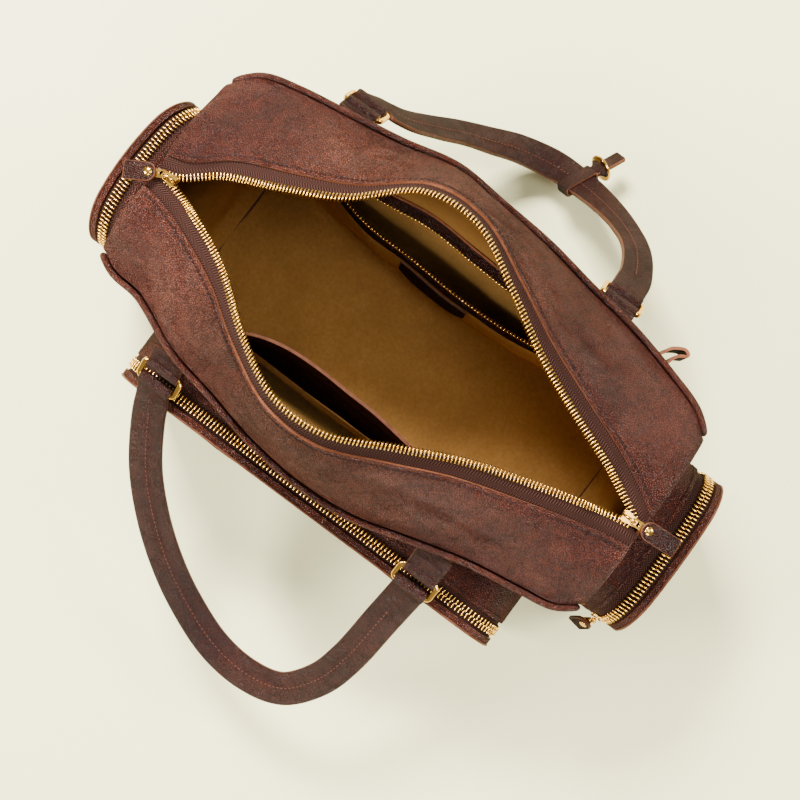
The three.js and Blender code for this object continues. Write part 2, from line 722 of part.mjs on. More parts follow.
// Closed shell from two stacks of rings; the last ring of each stack is filled across.
function dish(outer, inner) {
  const n = outer[0].length;
  const rows = outer.length;
  const points = [...outer.flat(), ...inner.flat()];
  const faces = [];
  const shift = rows * n;
  const centreOf = (ring) => {
    const c = ring.reduce((sum, p) => add3(sum, p), [0, 0, 0]);
    return [c[0] / n, c[1] / n, c[2] / n];
  };
  const top = points.push(centreOf(outer[rows - 1])) - 1;
  const low = points.push(centreOf(inner[rows - 1])) - 1;
  for (let j = 0; j < n; j += 1) {
    const k = (j + 1) % n;
    for (let i = 0; i < rows - 1; i += 1) {
      const a = i * n;
      const b = a + n;
      faces.push([a + j, b + j, b + k], [a + j, b + k, a + k]);
      const c = shift + a;
      const d = shift + b;
      faces.push([c + j, d + k, d + j], [c + j, c + k, d + k]);
    }
    const end = (rows - 1) * n;
    faces.push([end + j, top, end + k], [shift + end + j, shift + end + k, low]);
    faces.push([j, k, shift + k], [j, shift + k, shift + j]);
  }
  return solid(points, faces);
}

// Handle path in space for one side.
function handlePoint(side, t) {
  const arch = side > 0 ? backArch : frontArch;
  const reach = side > 0 ? backHandleReach : frontHandleReach;
  const drop = side > 0 ? backHandleDrop : frontHandleDrop;
  const start = ringBar(side, -1)[1];
  const y = mix(Math.abs(start), reach, along(arch, 'out', t));
  const x = along(arch, 'across', t) * topLength / 2;
  return [x, side * y, ringHeight - 4 - drop * along(arch, 'drop', t)];
}

// Rings: centre and slope of each, and the bar the handle hangs on.
const ringSpots = {
  front: { left: [-104, 100], right: [88.5, 106], slope: 0.58 },
  back: { left: [-102.5, 103.5], right: [88.5, 100.5], slope: 0.9 },
};
function ringFrame(side, hand) {
  const group = side > 0 ? ringSpots.back : ringSpots.front;
  const spot = hand < 0 ? group.left : group.right;
  const centre = [spot[0], side * spot[1], ringHeight];
  const out = [0, side * Math.cos(group.slope), -Math.sin(group.slope)];
  return { centre, out };
}
function ringBar(side, hand) {
  const { centre, out } = ringFrame(side, hand);
  return add3(centre, out, ringWidth / 2 - ringWire / 2);
}

function ring(side, hand) {
  const { centre, out } = ringFrame(side, hand);
  const normal = cross3([1, 0, 0], out);
  const a = ringLength / 2 - ringWire / 2;
  const b = ringWidth / 2 - ringWire / 2;
  const r = 2.6;
  const path = [];
  const corners = [[a - r, b - r, 0], [-(a - r), b - r, 1], [-(a - r), -(b - r), 2], [a - r, -(b - r), 3]];
  for (const [ca, cb, quarter] of corners) {
    for (let k = 0; k <= 2; k += 1) {
      const angle = (quarter + k / 2) * Math.PI / 2;
      path.push(add3(add3(centre, [1, 0, 0], ca + Math.cos(angle) * r), out, cb + Math.sin(angle) * r));
    }
  }
  return wire(path, normal, ringWire / 2, 6);
}

// Leather tab: comes off the panel, turns round the inner bar of the ring and goes back to the panel.
function ringTab(side, hand) {
  const { centre, out } = ringFrame(side, hand);
  const b = add3(centre, out, -(ringWidth / 2 - ringWire / 2));
  const x0 = centre[0];
  const depth = Math.abs(b[1]);
  const wall = (z) => panelAt(side, x0, z) + 0.2;
  const inner = ringWire / 2 + clearance;
  const path = [];
  path.push([wall(b[2] + 8), b[2] + 8]);
  for (let k = 0; k <= 6; k += 1) {
    const a = Math.PI * 0.62 - (k / 6) * Math.PI * 1.12;
    path.push([depth + Math.cos(a) * inner, b[2] + Math.sin(a) * inner, a]);
  }
  path.push([wall(b[2] - 9), b[2] - 9]);
  const layer = (thick) => path.map((p) => {
    const a = p[2] === undefined ? null : p[2];
    if (a !== null) return [depth + Math.cos(a) * (inner + thick), b[2] + Math.sin(a) * (inner + thick)];
    return [p[0] + thick * 0.5, p[1] + (p[1] > b[2] ? thick : -thick)];
  });
  const grid = (thick) => layer(thick).map(([y, z]) => [
    [x0 - tabWidth / 2, side * y, z], [x0 + tabWidth / 2, side * y, z],
  ]);
  return fitToPanel(sheet(grid(1.8), grid(0)), side);
}

// Strap frames: position, width direction and face direction along a handle.
function strapFrame(side, t) {
  const e = 0.004;
  const p = handlePoint(side, t);
  const ahead = handlePoint(side, Math.min(t + e, 1));
  const behind = handlePoint(side, Math.max(t - e, 0));
  const tangent = unit3(add3(ahead, behind, -1));
  const hang = Math.abs(2 * t - 1) ** 1.5;
  const lean = side > 0 ? mix(0.12, 1.6, hang) : mix(0.12, 0.62, hang);
  const face = unit3([0, side * lean, 1]);
  const width = unit3(cross3(tangent, face));
  return { p, tangent, width, face: cross3(width, tangent) };
}

function handle(side) {
  const start = 0.035;
  const ts = stations(start, 1 - start, 17);
  const rings = ts.map((t) => {
    const { p, width, face } = strapFrame(side, t);
    const w = strapWidth / 2;
    const h = strapThickness / 2;
    const c = 0.8;
    const outline = [
      [-w, c - h], [c - w, -h], [w - c, -h], [w, c - h], [w, h - c], [w - c, h], [c - w, h], [-w, h - c],
    ];
    return outline.map(([a, b]) => add3(add3(p, width, a), face, b));
  });
  let shape = toManifold(loft(rings));
  for (const hand of [-1, 1]) {
    const c = ringBar(side, hand);
    const a = [c[0] - strapWidth / 2, c[1], c[2]];
    const b = [c[0] + strapWidth / 2, c[1], c[2]];
    const from = hand < 0 ? rings[0] : rings[rings.length - 1];
    const sleeve = toManifold(bar(a, b, 3.9, 8));
    const bridge = toManifold(loft([from, from.map((p, k) => {
      const s = [[-1, -0.9], [-1, -1], [1, -1], [1, -0.9], [1, 0.9], [1, 1], [-1, 1], [-1, 0.9]][k];
      const flip = from[4][0] < from[0][0] ? -1 : 1;
      const { out } = ringFrame(side, hand);
      const n = cross3([1, 0, 0], out);
      const up = n[2] < 0 ? -1 : 1;
      const q = add3(c, [flip, 0, 0], s[0] * strapWidth / 2);
      return add3(add3(q, n, up * s[1] * 1.7), out, 2.6);
    })]));
    shape = shape.add(bridge).add(sleeve);
    const bore = toManifold(bar(add3(a, [-1, 0, 0], 2), add3(b, [1, 0, 0], 2), ringWire / 2 + clearance, 8));
    shape = shape.subtract(bore);
  }
  return fromManifold(shape);
}

// Keeper on the back handle: a leather sleeve round the strap with a tab past its outer edge. The tab
// goes through the slot of a round brass cap that is seen edge-on.
const keeperAt = 0.585;
const keeperReach = 24;
const capAt = 6.5;
const capRadius = 9.5;
function keeper() {
  const { p, tangent, width, face } = strapFrame(1, keeperAt);
  const axes = [tangent, width, face];
  const outSign = width[1] > 0 ? 1 : -1;
  const gap = 0.8;
  const wall = 1.4;
  const inner = [30, strapWidth + 2 * gap + 1, strapThickness + 2 * gap];
  const outer = [11, inner[1] + 2 * wall, inner[2] + 2 * wall];
  let shape = toManifold(block(p, axes, outer)).subtract(toManifold(block(p, axes, inner)));
  const edge = outer[1] / 2;
  const tab = [10, keeperReach + 0.4, 3];
  const tabCentre = add3(p, width, outSign * (edge + keeperReach / 2 - 0.2));
  shape = shape.add(toManifold(block(tabCentre, axes, tab)));
  const snapAt = add3(p, width, outSign * (edge + capAt));
  const cap = toManifold(bar(add3(snapAt, width, -0.9), add3(snapAt, width, 0.9), capRadius, 12));
  const slot = toManifold(block(snapAt, axes, [tab[0] + 2 * clearance, 8, tab[2] + 2 * clearance]));
  return { leather: fromManifold(shape), snap: fromManifold(cap.subtract(slot)) };
}

// Folded leather loop at the back near the right end.
function backLoop() {
  const middle = bodyHeight - 18;
  const wall = (x) => panelAt(1, x, middle) + 1.8;
  const at = topLength / 2 - loopInset;
  const path = [
    [at, wall(at)],
    [at + 6, wall(at) + 9.2],
    [at + 12, wall(at) + 12.7],
    [at + 16, wall(at) + 11.7],
    [at + 16.2, wall(at) + 9.2],
    [at + 12.5, wall(at) + 6.8],
    [at + 9, wall(at + 9)],
  ];
  const layer = (thick) => path.map(([x, y], i) => {
    const a = path[Math.max(i - 1, 0)];
    const b = path[Math.min(i + 1, path.length - 1)];
    const l = Math.hypot(b[0] - a[0], b[1] - a[1]);
    const n = [-(b[1] - a[1]) / l, (b[0] - a[0]) / l];
    return [-0.5, 0.5].map((k) => [x + n[0] * thick, y + n[1] * thick, middle + k * loopHeight]);
  });
  return sheet(layer(0), layer(-1.2));
}

// Inner pockets hang off the inside of the lining walls.
const insideAt = (side, x, z) => {
  const rows = [...liningHeights, 2.5];
  let i = 0;
  while (i < rows.length - 2 && z < rows[i + 1]) i += 1;
  const share = Math.min(Math.max((rows[i] - z) / (rows[i] - rows[i + 1]), 0), 1);
  const y = mix(liningAt(side, x, rows[i]), liningAt(side, x, rows[i + 1]), share);
  return y - liningThickness - 0.9;
};
const swell = (x, from, to) => {
  const s = (2 * (x - from)) / (to - from) - 1;
  return Math.max(1 - Math.abs(s) ** 2.6, 0);
};

function slipPocket() {
  const xs = stations(slipLeft, slipRight, 13);
  const foot = 9;
  const depth = (x, z) => {
    const top = insideAt(-1, x, slipTop) - slipBulge * swell(x, slipLeft, slipRight);
    const low = insideAt(-1, x, foot) - 2;
    const t = (z - foot) / (slipTop - foot);
    return Math.min(mix(low, top, t), insideAt(-1, x, z));
  };
  const part = (heights, thick, back) => {
    const outer = heights.map((z) => xs.map((x) => [x, -(depth(x, z) - back), z]));
    const inner = heights.map((z) => xs.map((x) => [x, -(depth(x, z) - back - thick), z]));
    return sheet(outer, inner);
  };
  return {
    band: part([slipTop - slipBand, slipTop - slipBand / 2, slipTop], 2, 0),
    panel: part([foot, slipTop * 0.34, slipTop * 0.6, slipTop - slipBand - 0.4], 1.2, 0.3),
  };
}

function innerPocket() {
  const xs = stations(innerLeft, innerRight, 13);
  const foot = 9;
  const belly = [
    { at: 0, out: 0 }, { at: 0.225, out: 0.32 }, { at: 0.507, out: 0.72 }, { at: 0.746, out: 0.9 },
    { at: 1, out: 1 },
  ];
  const share = (z) => (z - foot) / (innerFree - foot);
  const depth = (x, z) => {
    const b = innerBulge * swell(x, innerLeft, innerRight);
    const fall = 3 * Math.sin(Math.PI * Math.min(z / innerFree, 1)) * swell(x, innerLeft, innerRight);
    return insideAt(1, x, z) - b * along(belly, 'out', share(z)) - fall;
  };
  const part = (heights, thick, lift) => {
    const outer = heights.map((z) => xs.map((x) => [x, depth(x, z) - lift, z]));
    const inner = heights.map((z) => xs.map((x) => [x, depth(x, z) - lift - thick, z]));
    return sheet(outer, inner);
  };
  const rod = (depthAt, z, w, h) => loft(xs.map((x) => [[-1, -1], [1, -1], [1, 1], [-1, 1]]
    .map(([a, b]) => [x, depthAt(x) + a * w / 2, z + b * h / 2])));
  const seams = [0, 0.225, 0.507, 0.746].map((k) => mix(foot, innerFree, k));
  const panelPart = part([...seams, innerFree - 8.4], 1, 0);
  const trim = part([innerFree - 8, innerFree], 1.6, 0);
  const teethFree = rod((x) => depth(x, innerFree) - 0.8, innerFree + 1.3, 1.8, 2);
  const stripRows = [innerWall + 3, innerWall + 16];
  const outer = stripRows.map((z) => xs.map((x) => [x, insideAt(1, x, z), z]));
  const inner = stripRows.map((z) => xs.map((x) => [x, insideAt(1, x, z) - 1.4, z]));
  const wallStrip = sheet(outer, inner);
  const teethWall = rod((x) => insideAt(1, x, innerWall) - 0.9, innerWall + 1.2, 1.8, 2);
  const px = stations(patchLeft, patchRight, 7);
  const patchTop = innerFree - 10;
  const middle = (patchLeft + patchRight) / 2;
  const bow = (x) => Math.abs((x - middle) / (patchRight - middle)) ** 2;
  const patchLow = (x) => patchTop - patchDepth + 14 * bow(x);
  const patchGrid = (lift) => [0, 0.5, 1].map((k) => px.map((x) => {
    const z = mix(patchLow(x), patchTop, k);
    return [x, depth(x, z) - 1.35 - lift, z];
  }));
  return {
    panelPart, trim, teethFree, wallStrip, teethWall, patch: sheet(patchGrid(0), patchGrid(1.2)),
  };
}

// Pocket placements
const onEnd = (sign) => (a, z, d) => [sign * (halfAt(z) + d), a, z];
const onFront = (a, z, d) => [a, -d, z];
const bow = (a, centre, width) => 1 - ((2 * (a - centre)) / width) ** 2;
function endPocket(sign) {
  const width = sign < 0 ? endPocketWidthLeft : endPocketWidthRight;
  const line = sign < 0 ? endChain.left : endChain.right;
  const parts = pocket({
    centre: endPocketCentre,
    width,
    corner: endPocketCorner,
    rimMargin: line.rimMargin,
    dome: line.dome,
    wallAt: () => 0.4,
    chainAt: (a) => line.side + (line.middle - line.side) * Math.max(bow(a, endPocketCentre, width), 0),
    toWorld: onEnd(sign),
  });
  const edge = endPocketCentre - width / 2 + rimLeather;
  parts.grip = [onEnd(sign)(edge, pocketSliderHeight, line.side), [0, -1, 0], [0, 0, 1]];
  parts.pullAlong = sign > 0 ? [-0.22, -0.3, -0.93] : [0.2, -0.12, -0.97];
  parts.pullUp = sign > 0 ? [-0.1, -0.94, 0.28] : [-0.1, -0.99, 0.1];
  return parts;
}
function frontPocket() {
  const parts = pocket({
    centre: frontPocketCentre,
    width: frontPocketLength,
    corner: frontPocketCorner,
    rimMargin: frontRimMargin,
    dome: 2,
    wallAt: (a, z) => panelAt(-1, a, z) - panelLeather,
    chainAt: () => frontChain,
    toWorld: onFront,
  });
  parts.rim = fitToPanel(parts.rim, -1);
  const edge = frontPocketCentre - frontPocketLength / 2 + rimLeather;
  parts.grip = [onFront(edge, pocketSliderHeight, frontChain), [-1, 0, 0], [0, 0, 1]];
  parts.pullAlong = [0, 0, -1];
  parts.pullUp = [-1, 0, 0];
  return parts;
}

// Assembly
const group = new THREE.Group();
group.name = 'boston_bag';
const looks = {
  leather: { color: 0x6e3e32, roughness: 0.5, metalness: 0 },
  cord: { color: 0x7a4638, roughness: 0.5, metalness: 0 },
  tape: { color: 0x4c332f, roughness: 0.9, metalness: 0 },
  lining: { color: 0x7a5420, roughness: 0.9, metalness: 0 },
  brass: { color: 0xd7a53c, roughness: 0.3, metalness: 1 },
};
function piece(name, geometry, look) {
  const item = new THREE.Mesh(geometry, new THREE.MeshStandardMaterial(looks[look]));
  item.name = name;
  group.add(item);
}

piece('back_panel', panel(1), 'leather');
piece('front_panel', panel(-1), 'leather');
piece('gusset', gusset(), 'leather');
piece('back_piping', piping(1), 'cord');
piece('front_piping', piping(-1), 'cord');
piece('top_strip_back', topStrip(1), 'leather');
piece('top_strip_front', topStrip(-1), 'leather');
piece('lining', lining(), 'lining');
piece('zip_tape_back', zipTape(1), 'tape');
piece('zip_tape_front', zipTape(-1), 'tape');
piece('zip_teeth_back', zipTeeth(1), 'brass');
piece('zip_teeth_front', zipTeeth(-1), 'brass');

for (const [hand, sign] of [['left', -1], ['right', 1]]) {
  const { geometry, eye } = mainSlider(sign);
  piece(`slider_${hand}`, geometry, 'brass');
  const direction = sign < 0 ? [-0.85, -0.47, -0.1] : [0.98, 0.06, -0.08];
  const reach = sign < 0 ? pullLengthLeft : pullLengthRight;
  const { link, tab } = pull(eye, direction, [0, 0, 1], reach, pullWidth);
  piece(`pull_link_${hand}`, link, 'brass');
  piece(`pull_tab_${hand}`, tab, 'leather');
}

const pockets = [
  ['left_pocket', endPocket(-1)],
  ['right_pocket', endPocket(1)],
  ['front_pocket', frontPocket()],
];
for (const [name, parts] of pockets) {
  piece(`${name}_rim`, parts.rim, 'leather');
  piece(`${name}_tape`, parts.tape, 'tape');
  piece(`${name}_chain`, parts.chain, 'brass');
  piece(`${name}_face`, parts.face, 'leather');
  const { geometry, eye } = pocketSlider(...parts.grip);
  piece(`${name}_slider`, geometry, 'brass');
  const { link, tab } = pull(eye, parts.pullAlong, parts.pullUp, pocketPullLength, pullWidth);
  piece(`${name}_pull_link`, link, 'brass');
  piece(`${name}_pull_tab`, tab, 'leather');
}

piece('handle_back', handle(1), 'leather');
piece('handle_front', handle(-1), 'leather');
for (const [end, side] of [['back', 1], ['front', -1]]) {
  for (const [hand, sign] of [['left', -1], ['right', 1]]) {
    piece(`ring_${end}_${hand}`, ring(side, sign), 'brass');
    piece(`ring_tab_${end}_${hand}`, ringTab(side, sign), 'leather');
  }
}
const held = keeper();
piece('keeper', held.leather, 'leather');
piece('keeper_snap', held.snap, 'brass');
piece('back_loop', backLoop(), 'leather');

const slip = slipPocket();
piece('slip_pocket_band', slip.band, 'leather');
piece('slip_pocket_panel', slip.panel, 'lining');
const inside = innerPocket();
piece('inner_pocket_panel', inside.panelPart, 'lining');
piece('inner_pocket_trim', inside.trim, 'leather');
piece('inner_teeth_free', inside.teethFree, 'brass');
piece('inner_pocket_strip', inside.wallStrip, 'leather');
piece('inner_teeth_wall', inside.teethWall, 'brass');
piece('inner_patch', inside.patch, 'leather');

export default group;
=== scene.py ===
"""Looks of the boston bag: shells, zip teeth, stitches, leather, tape, twill and brass on the CAD frame."""
import math

import bmesh
import bpy
import numpy as np
from mathutils import Matrix, Vector, noise


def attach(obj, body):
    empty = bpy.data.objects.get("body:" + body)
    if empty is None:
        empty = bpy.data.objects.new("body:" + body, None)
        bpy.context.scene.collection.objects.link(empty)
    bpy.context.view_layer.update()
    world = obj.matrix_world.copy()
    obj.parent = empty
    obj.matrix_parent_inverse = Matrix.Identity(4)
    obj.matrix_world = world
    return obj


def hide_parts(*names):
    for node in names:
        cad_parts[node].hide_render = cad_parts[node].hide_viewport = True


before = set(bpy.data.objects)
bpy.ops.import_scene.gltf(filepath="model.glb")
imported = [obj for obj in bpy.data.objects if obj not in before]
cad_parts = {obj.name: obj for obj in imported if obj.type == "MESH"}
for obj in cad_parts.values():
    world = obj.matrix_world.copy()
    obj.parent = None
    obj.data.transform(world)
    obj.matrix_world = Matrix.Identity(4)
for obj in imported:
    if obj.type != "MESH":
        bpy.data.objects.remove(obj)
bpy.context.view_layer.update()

MM = 0.001

# Sizes in millimetres, as the CAD part has them
BODY_HEIGHT = 160.0
TOP_LENGTH = 346.0
BASE_LENGTH = 332.0
BASE_DEPTH = 120.0
BACK_REACH = 105.5
FRONT_REACH = 103.0
BASE_CORNER = 20.0
LEATHER = 1.8
PANEL_LEATHER = 2.0
CLEARANCE = 0.35
PIPING_RADIUS = 1.9
PIPING_PROUD = 0.6
EDGE_REACH = 78.0
EDGE_RISE = 53.0
STRIP_ROUND = 5.0
LINING_SAG = 6.0
LINING_INSET = 2.8
TAPE_WIDTH = 11.3
TAPE_THICKNESS = 0.7
TAPE_DEPTH = LEATHER + CLEARANCE
TEETH_WIDTH = 2.4
TEETH_HEIGHT = 2.4
TEETH_END = 167.5
TEETH_PITCH = 2.2
SLIDER_SPOT = 163.4
POCKET_BASE = 14.0
POCKET_TOP = 128.0
CHAIN_TO_FACE = 5.5
CHAIN_LOWEST = 70.0
CHAIN_PITCH = 2.5
CHAIN_WIDTH = 6.8
FACE_LIP = 5.0
RIM_LEATHER = 1.6
POCKET_SLIDER_HEIGHT = 84.0
RING_HEIGHT = 140.0
RING_LENGTH = 29.0
RING_WIDTH = 16.0
RING_WIRE = 3.2
STRAP_WIDTH = 22.0
STRAP_THICKNESS = 3.6
STITCH_INSET = 3.2

# Columns: at, pipe, edge, rise, as shares of the length, the reach, the edge reach and the edge rise
BACK_MOUTH = [
    (-0.5, 0.626, 0.09, 0.19), (-0.46, 0.758, 0.141, 0.21), (-0.4, 0.82, 0.34, 0.26),
    (-0.3, 0.875, 0.5, 0.53), (-0.2, 0.929, 0.682, 0.755), (-0.1, 1, 0.974, 0.98),
    (0, 0.976, 1, 1), (0.1, 0.948, 0.814, 0.887), (0.2, 0.891, 0.6, 0.708),
    (0.3, 0.839, 0.436, 0.51), (0.4, 0.754, 0.278, 0.34), (0.46, 0.687, 0.154, 0.245),
    (0.5, 0.588, 0.038, 0.208),
]
FRONT_MOUTH = [
    (-0.5, 0.602, 0.192, 0.2), (-0.46, 0.665, 0.218, 0.245), (-0.4, 0.689, 0.301, 0.38),
    (-0.3, 0.83, 0.494, 0.585), (-0.2, 0.9, 0.769, 0.83), (-0.1, 0.971, 0.968, 0.98),
    (0, 1, 0.974, 0.962), (0.1, 0.976, 0.782, 0.811), (0.2, 0.883, 0.581, 0.68),
    (0.3, 0.791, 0.436, 0.53), (0.4, 0.733, 0.308, 0.38), (0.46, 0.694, 0.244, 0.265),
    (0.5, 0.602, 0.218, 0.21),
]
# Columns: at, across, out, drop
FRONT_ARCH = [
    (0, -0.601, 0, 0), (0.08, -0.572, 0.157, 0.17), (0.17, -0.491, 0.38, 0.36),
    (0.26, -0.383, 0.572, 0.55), (0.35, -0.254, 0.74, 0.73), (0.43, -0.116, 0.873, 0.89),
    (0.52, 0.062, 0.984, 1), (0.6, 0.227, 0.999, 0.94), (0.68, 0.37, 0.93, 0.82),
    (0.75, 0.455, 0.757, 0.64), (0.83, 0.49, 0.55, 0.45), (0.92, 0.503, 0.27, 0.22),
    (1, 0.512, 0.06, 0),
]
BACK_ARCH = [
    (0, -0.592, 0.02, 0), (0.09, -0.485, 0.15, 0.2), (0.17, -0.412, 0.33, 0.41),
    (0.25, -0.332, 0.53, 0.6), (0.34, -0.239, 0.71, 0.77), (0.42, -0.13, 0.885, 0.91),
    (0.51, 0.012, 1, 1), (0.6, 0.15, 0.95, 0.88), (0.68, 0.27, 0.845, 0.72),
    (0.76, 0.374, 0.7, 0.545), (0.84, 0.457, 0.51, 0.365), (0.93, 0.506, 0.24, 0.18),
    (1, 0.512, 0, 0),
]


def along(rows, column, at):
    """Smooth cubic through the rows of a table column."""
    last = len(rows) - 1
    t = clamp(at, rows[0][0], rows[last][0])
    i = 0
    while i < last - 1 and t > rows[i + 1][0]:
        i += 1

    def slope(k):
        a, b = rows[max(k - 1, 0)], rows[min(k + 1, last)]
        return (b[column] - a[column]) / (b[0] - a[0])

    h = rows[i + 1][0] - rows[i][0]
    s = (t - rows[i][0]) / h
    s2, s3 = s * s, s * s * s
    return ((2 * s3 - 3 * s2 + 1) * rows[i][column] + (s3 - 2 * s2 + s) * h * slope(i)
            + (3 * s2 - 2 * s3) * rows[i + 1][column] + (s3 - s2) * h * slope(i + 1))


def mix(a, b, t):
    return a + (b - a) * t


def clamp(v, low=0.0, high=1.0):
    return min(max(v, low), high)


def smooth(v):
    v = clamp(v)
    return v * v * (3 - 2 * v)


def unit(v):
    v = np.asarray(v, float)
    return v / np.linalg.norm(v)


def unit_rows(v):
    return v / np.linalg.norm(v, axis=1)[:, None]


def wobble(a, b, c, size):
    return noise.noise(Vector((a / size, b / size, c / size)))


def half_at(z):
    return mix(BASE_LENGTH, TOP_LENGTH, z / BODY_HEIGHT) / 2


def mouth(side, column, x):
    return along(BACK_MOUTH if side > 0 else FRONT_MOUTH, column, x / TOP_LENGTH)


def pipe_at(side, x):
    return (BACK_REACH if side > 0 else FRONT_REACH) * mouth(side, 1, x)


def panel_at(side, x, z):
    return mix(BASE_DEPTH / 2, pipe_at(side, x), clamp(z / BODY_HEIGHT) ** 0.9)


def place(side, x, point):
    return np.array([x, side * point[0], point[1]])


class Strip:
    """Section of a top strip at x: depth outwards and height."""

    def __init__(self, side, x):
        rise = mouth(side, 3, x)
        self.edge = np.array([EDGE_REACH * mouth(side, 2, x), BODY_HEIGHT + EDGE_RISE * rise])
        foot = pipe_at(side, x) + PIPING_PROUD - 2 * PIPING_RADIUS - 2 * CLEARANCE
        self.foot = np.array([foot, BODY_HEIGHT])
        self.run = self.edge - self.foot
        self.length = float(np.hypot(*self.run))
        self.c = self.run / self.length
        self.n = np.array([self.c[1], -self.c[0]])
        risen = (self.edge[1] - BODY_HEIGHT) / EDGE_RISE
        self.round = STRIP_ROUND * (0.6 + 1.2 * risen - 1.3 * risen * risen)
        self.tangent = self.tangent_at(1)

    def tangent_at(self, t):
        d = self.round * 4 * (1 - 2 * t)
        return (self.c * self.length + self.n * d) / math.hypot(self.length, d)

    def point(self, t, depth):
        tangent = self.tangent_at(t)
        normal = np.array([tangent[1], -tangent[0]])
        return self.foot + self.run * t + self.n * self.round * 4 * t * (1 - t) - normal * depth


def zip_centre(x):
    return (Strip(1, x).edge[0] - Strip(-1, x).edge[0]) / 2


def free_teeth(side, x):
    s = Strip(side, x)
    start = s.point(1, TAPE_DEPTH + TAPE_THICKNESS / 2)
    limit = side * zip_centre(x) + TEETH_WIDTH / 2 + CLEARANCE / 2
    y = max(start[0] + s.tangent[0] * TAPE_WIDTH, limit)
    reach = (y - start[0]) / s.tangent[0]
    return s, start, np.array([y, start[1] + s.tangent[1] * reach])


END_LEVEL = {
    sign: (free_teeth(1, sign * SLIDER_SPOT)[2][1] + free_teeth(-1, sign * SLIDER_SPOT)[2][1]) / 2
    for sign in (-1, 1)
}


def teeth_at(side, x):
    """Strip, free reach of the tape, its direction and normal, and centre of the teeth row at x."""
    s, start, centre = free_teeth(side, x)
    near = smooth((abs(x) - (SLIDER_SPOT - 30)) / 24)
    z = mix(centre[1], END_LEVEL[1 if x > 0 else -1], near)
    run = np.array([centre[0] - start[0], z - start[1]])
    reach = float(np.hypot(*run))
    tangent = run / reach
    return s, reach, tangent, np.array([tangent[1], -tangent[0]]), np.array([centre[0], z])


# Mesh makers


def finish_mesh(name, points, faces, materials, indices=None, uvs=None, sharp=38.0, node=None):
    """A shaded mesh object in metres from points in millimetres, riding on the root."""
    mesh = bpy.data.meshes.new(name)
    points = np.asarray(points, float) * MM
    mesh.from_pydata(points.tolist(), [], [tuple(int(i) for i in f) for f in faces])
    if uvs is not None:
        loops = np.zeros(len(mesh.loops), np.int32)
        mesh.loops.foreach_get("vertex_index", loops)
        layer = mesh.uv_layers.new(name="UVMap")
        layer.data.foreach_set("uv", np.asarray(uvs, np.float32)[loops].ravel())
    for m in materials:
        mesh.materials.append(m)
    if indices is not None:
        mesh.polygons.foreach_set("material_index", np.asarray(indices, np.int32))
    bm = bmesh.new()
    bm.from_mesh(mesh)
    for f in bm.faces:
        f.smooth = True
    for e in bm.edges:
        if len(e.link_faces) == 2 and e.calc_face_angle(0) > math.radians(sharp):
            e.smooth = False
    bm.to_mesh(mesh)
    bm.free()
    mesh.update()
    piece = bpy.data.objects.new(name, mesh)
    bpy.context.scene.collection.objects.link(piece)
    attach(piece, "root")
    if node:
        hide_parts(node)
    return piece


def outward(points, faces):
    """The faces turned so that they look out of the closed mesh."""
    p = np.asarray(points, float)
    corners = np.array([(f[0], f[k], f[k + 1]) for f in faces for k in range(1, len(f) - 1)])
    a, b, c = (p[corners[:, k]] for k in range(3))
    return faces if np.einsum("ij,ij->", a, np.cross(b, c)) > 0 else [f[::-1] for f in faces]


def quads(ids):
    """Faces between the neighbours in a grid of point numbers."""
    return np.stack([ids[:-1, :-1], ids[1:, :-1], ids[1:, 1:], ids[:-1, 1:]], axis=2).reshape(-1, 4)


def ring_faces(count, around, closed=False):
    """Sides of a body through rings of points, with a cap at both ends unless closed."""
    ids = np.arange(count * around).reshape(count, around)
    grid = np.hstack([ids, ids[:, :1]])
    if closed:
        return list(quads(np.vstack([grid, grid[:1]])))
    return [*quads(grid), ids[0], ids[-1][::-1]]


def arc_uv(grid):
    """Lengths along the columns and the rows of a grid of points, in metres."""
    u = np.zeros(grid.shape[:2])
    v = np.zeros(grid.shape[:2])
    u[:, 1:] = np.cumsum(np.linalg.norm(np.diff(grid, axis=1), axis=2), axis=1)
    v[1:, :] = np.cumsum(np.linalg.norm(np.diff(grid, axis=0), axis=2), axis=0)
    middle = grid.shape[1] // 2
    return (np.stack([u - u[:, middle:middle + 1], v], axis=2) * MM).reshape(-1, 2)


def shell(name, outer, inner, materials, loop=False, sharp=38.0, node=None):
    """A sheet with thickness between two grids of points; materials are outer, inner and rim."""
    outer, inner = np.asarray(outer, float), np.asarray(inner, float)
    rows, cols = outer.shape[:2]
    shift = rows * cols
    ids = np.arange(shift).reshape(rows, cols)
    if loop:
        ids = np.hstack([ids, ids[:, :1]])

    def wall(edge, flip):
        sides = quads(np.stack([edge, edge + shift]))
        return sides[:, ::-1] if flip else sides

    parts = [quads(ids), quads(ids)[:, ::-1] + shift, wall(ids[0], True), wall(ids[-1], False)]
    if not loop:
        parts += [wall(ids[:, 0], False), wall(ids[:, -1], True)]
    index = [min(k, 2) for k, part in enumerate(parts) for _ in part]
    points = np.concatenate([outer.reshape(-1, 3), inner.reshape(-1, 3)])
    uvs = np.concatenate([arc_uv(outer), arc_uv(inner)])
    faces = outward(points, np.concatenate(parts))
    return finish_mesh(name, points, faces, materials, index, uvs, sharp, node)


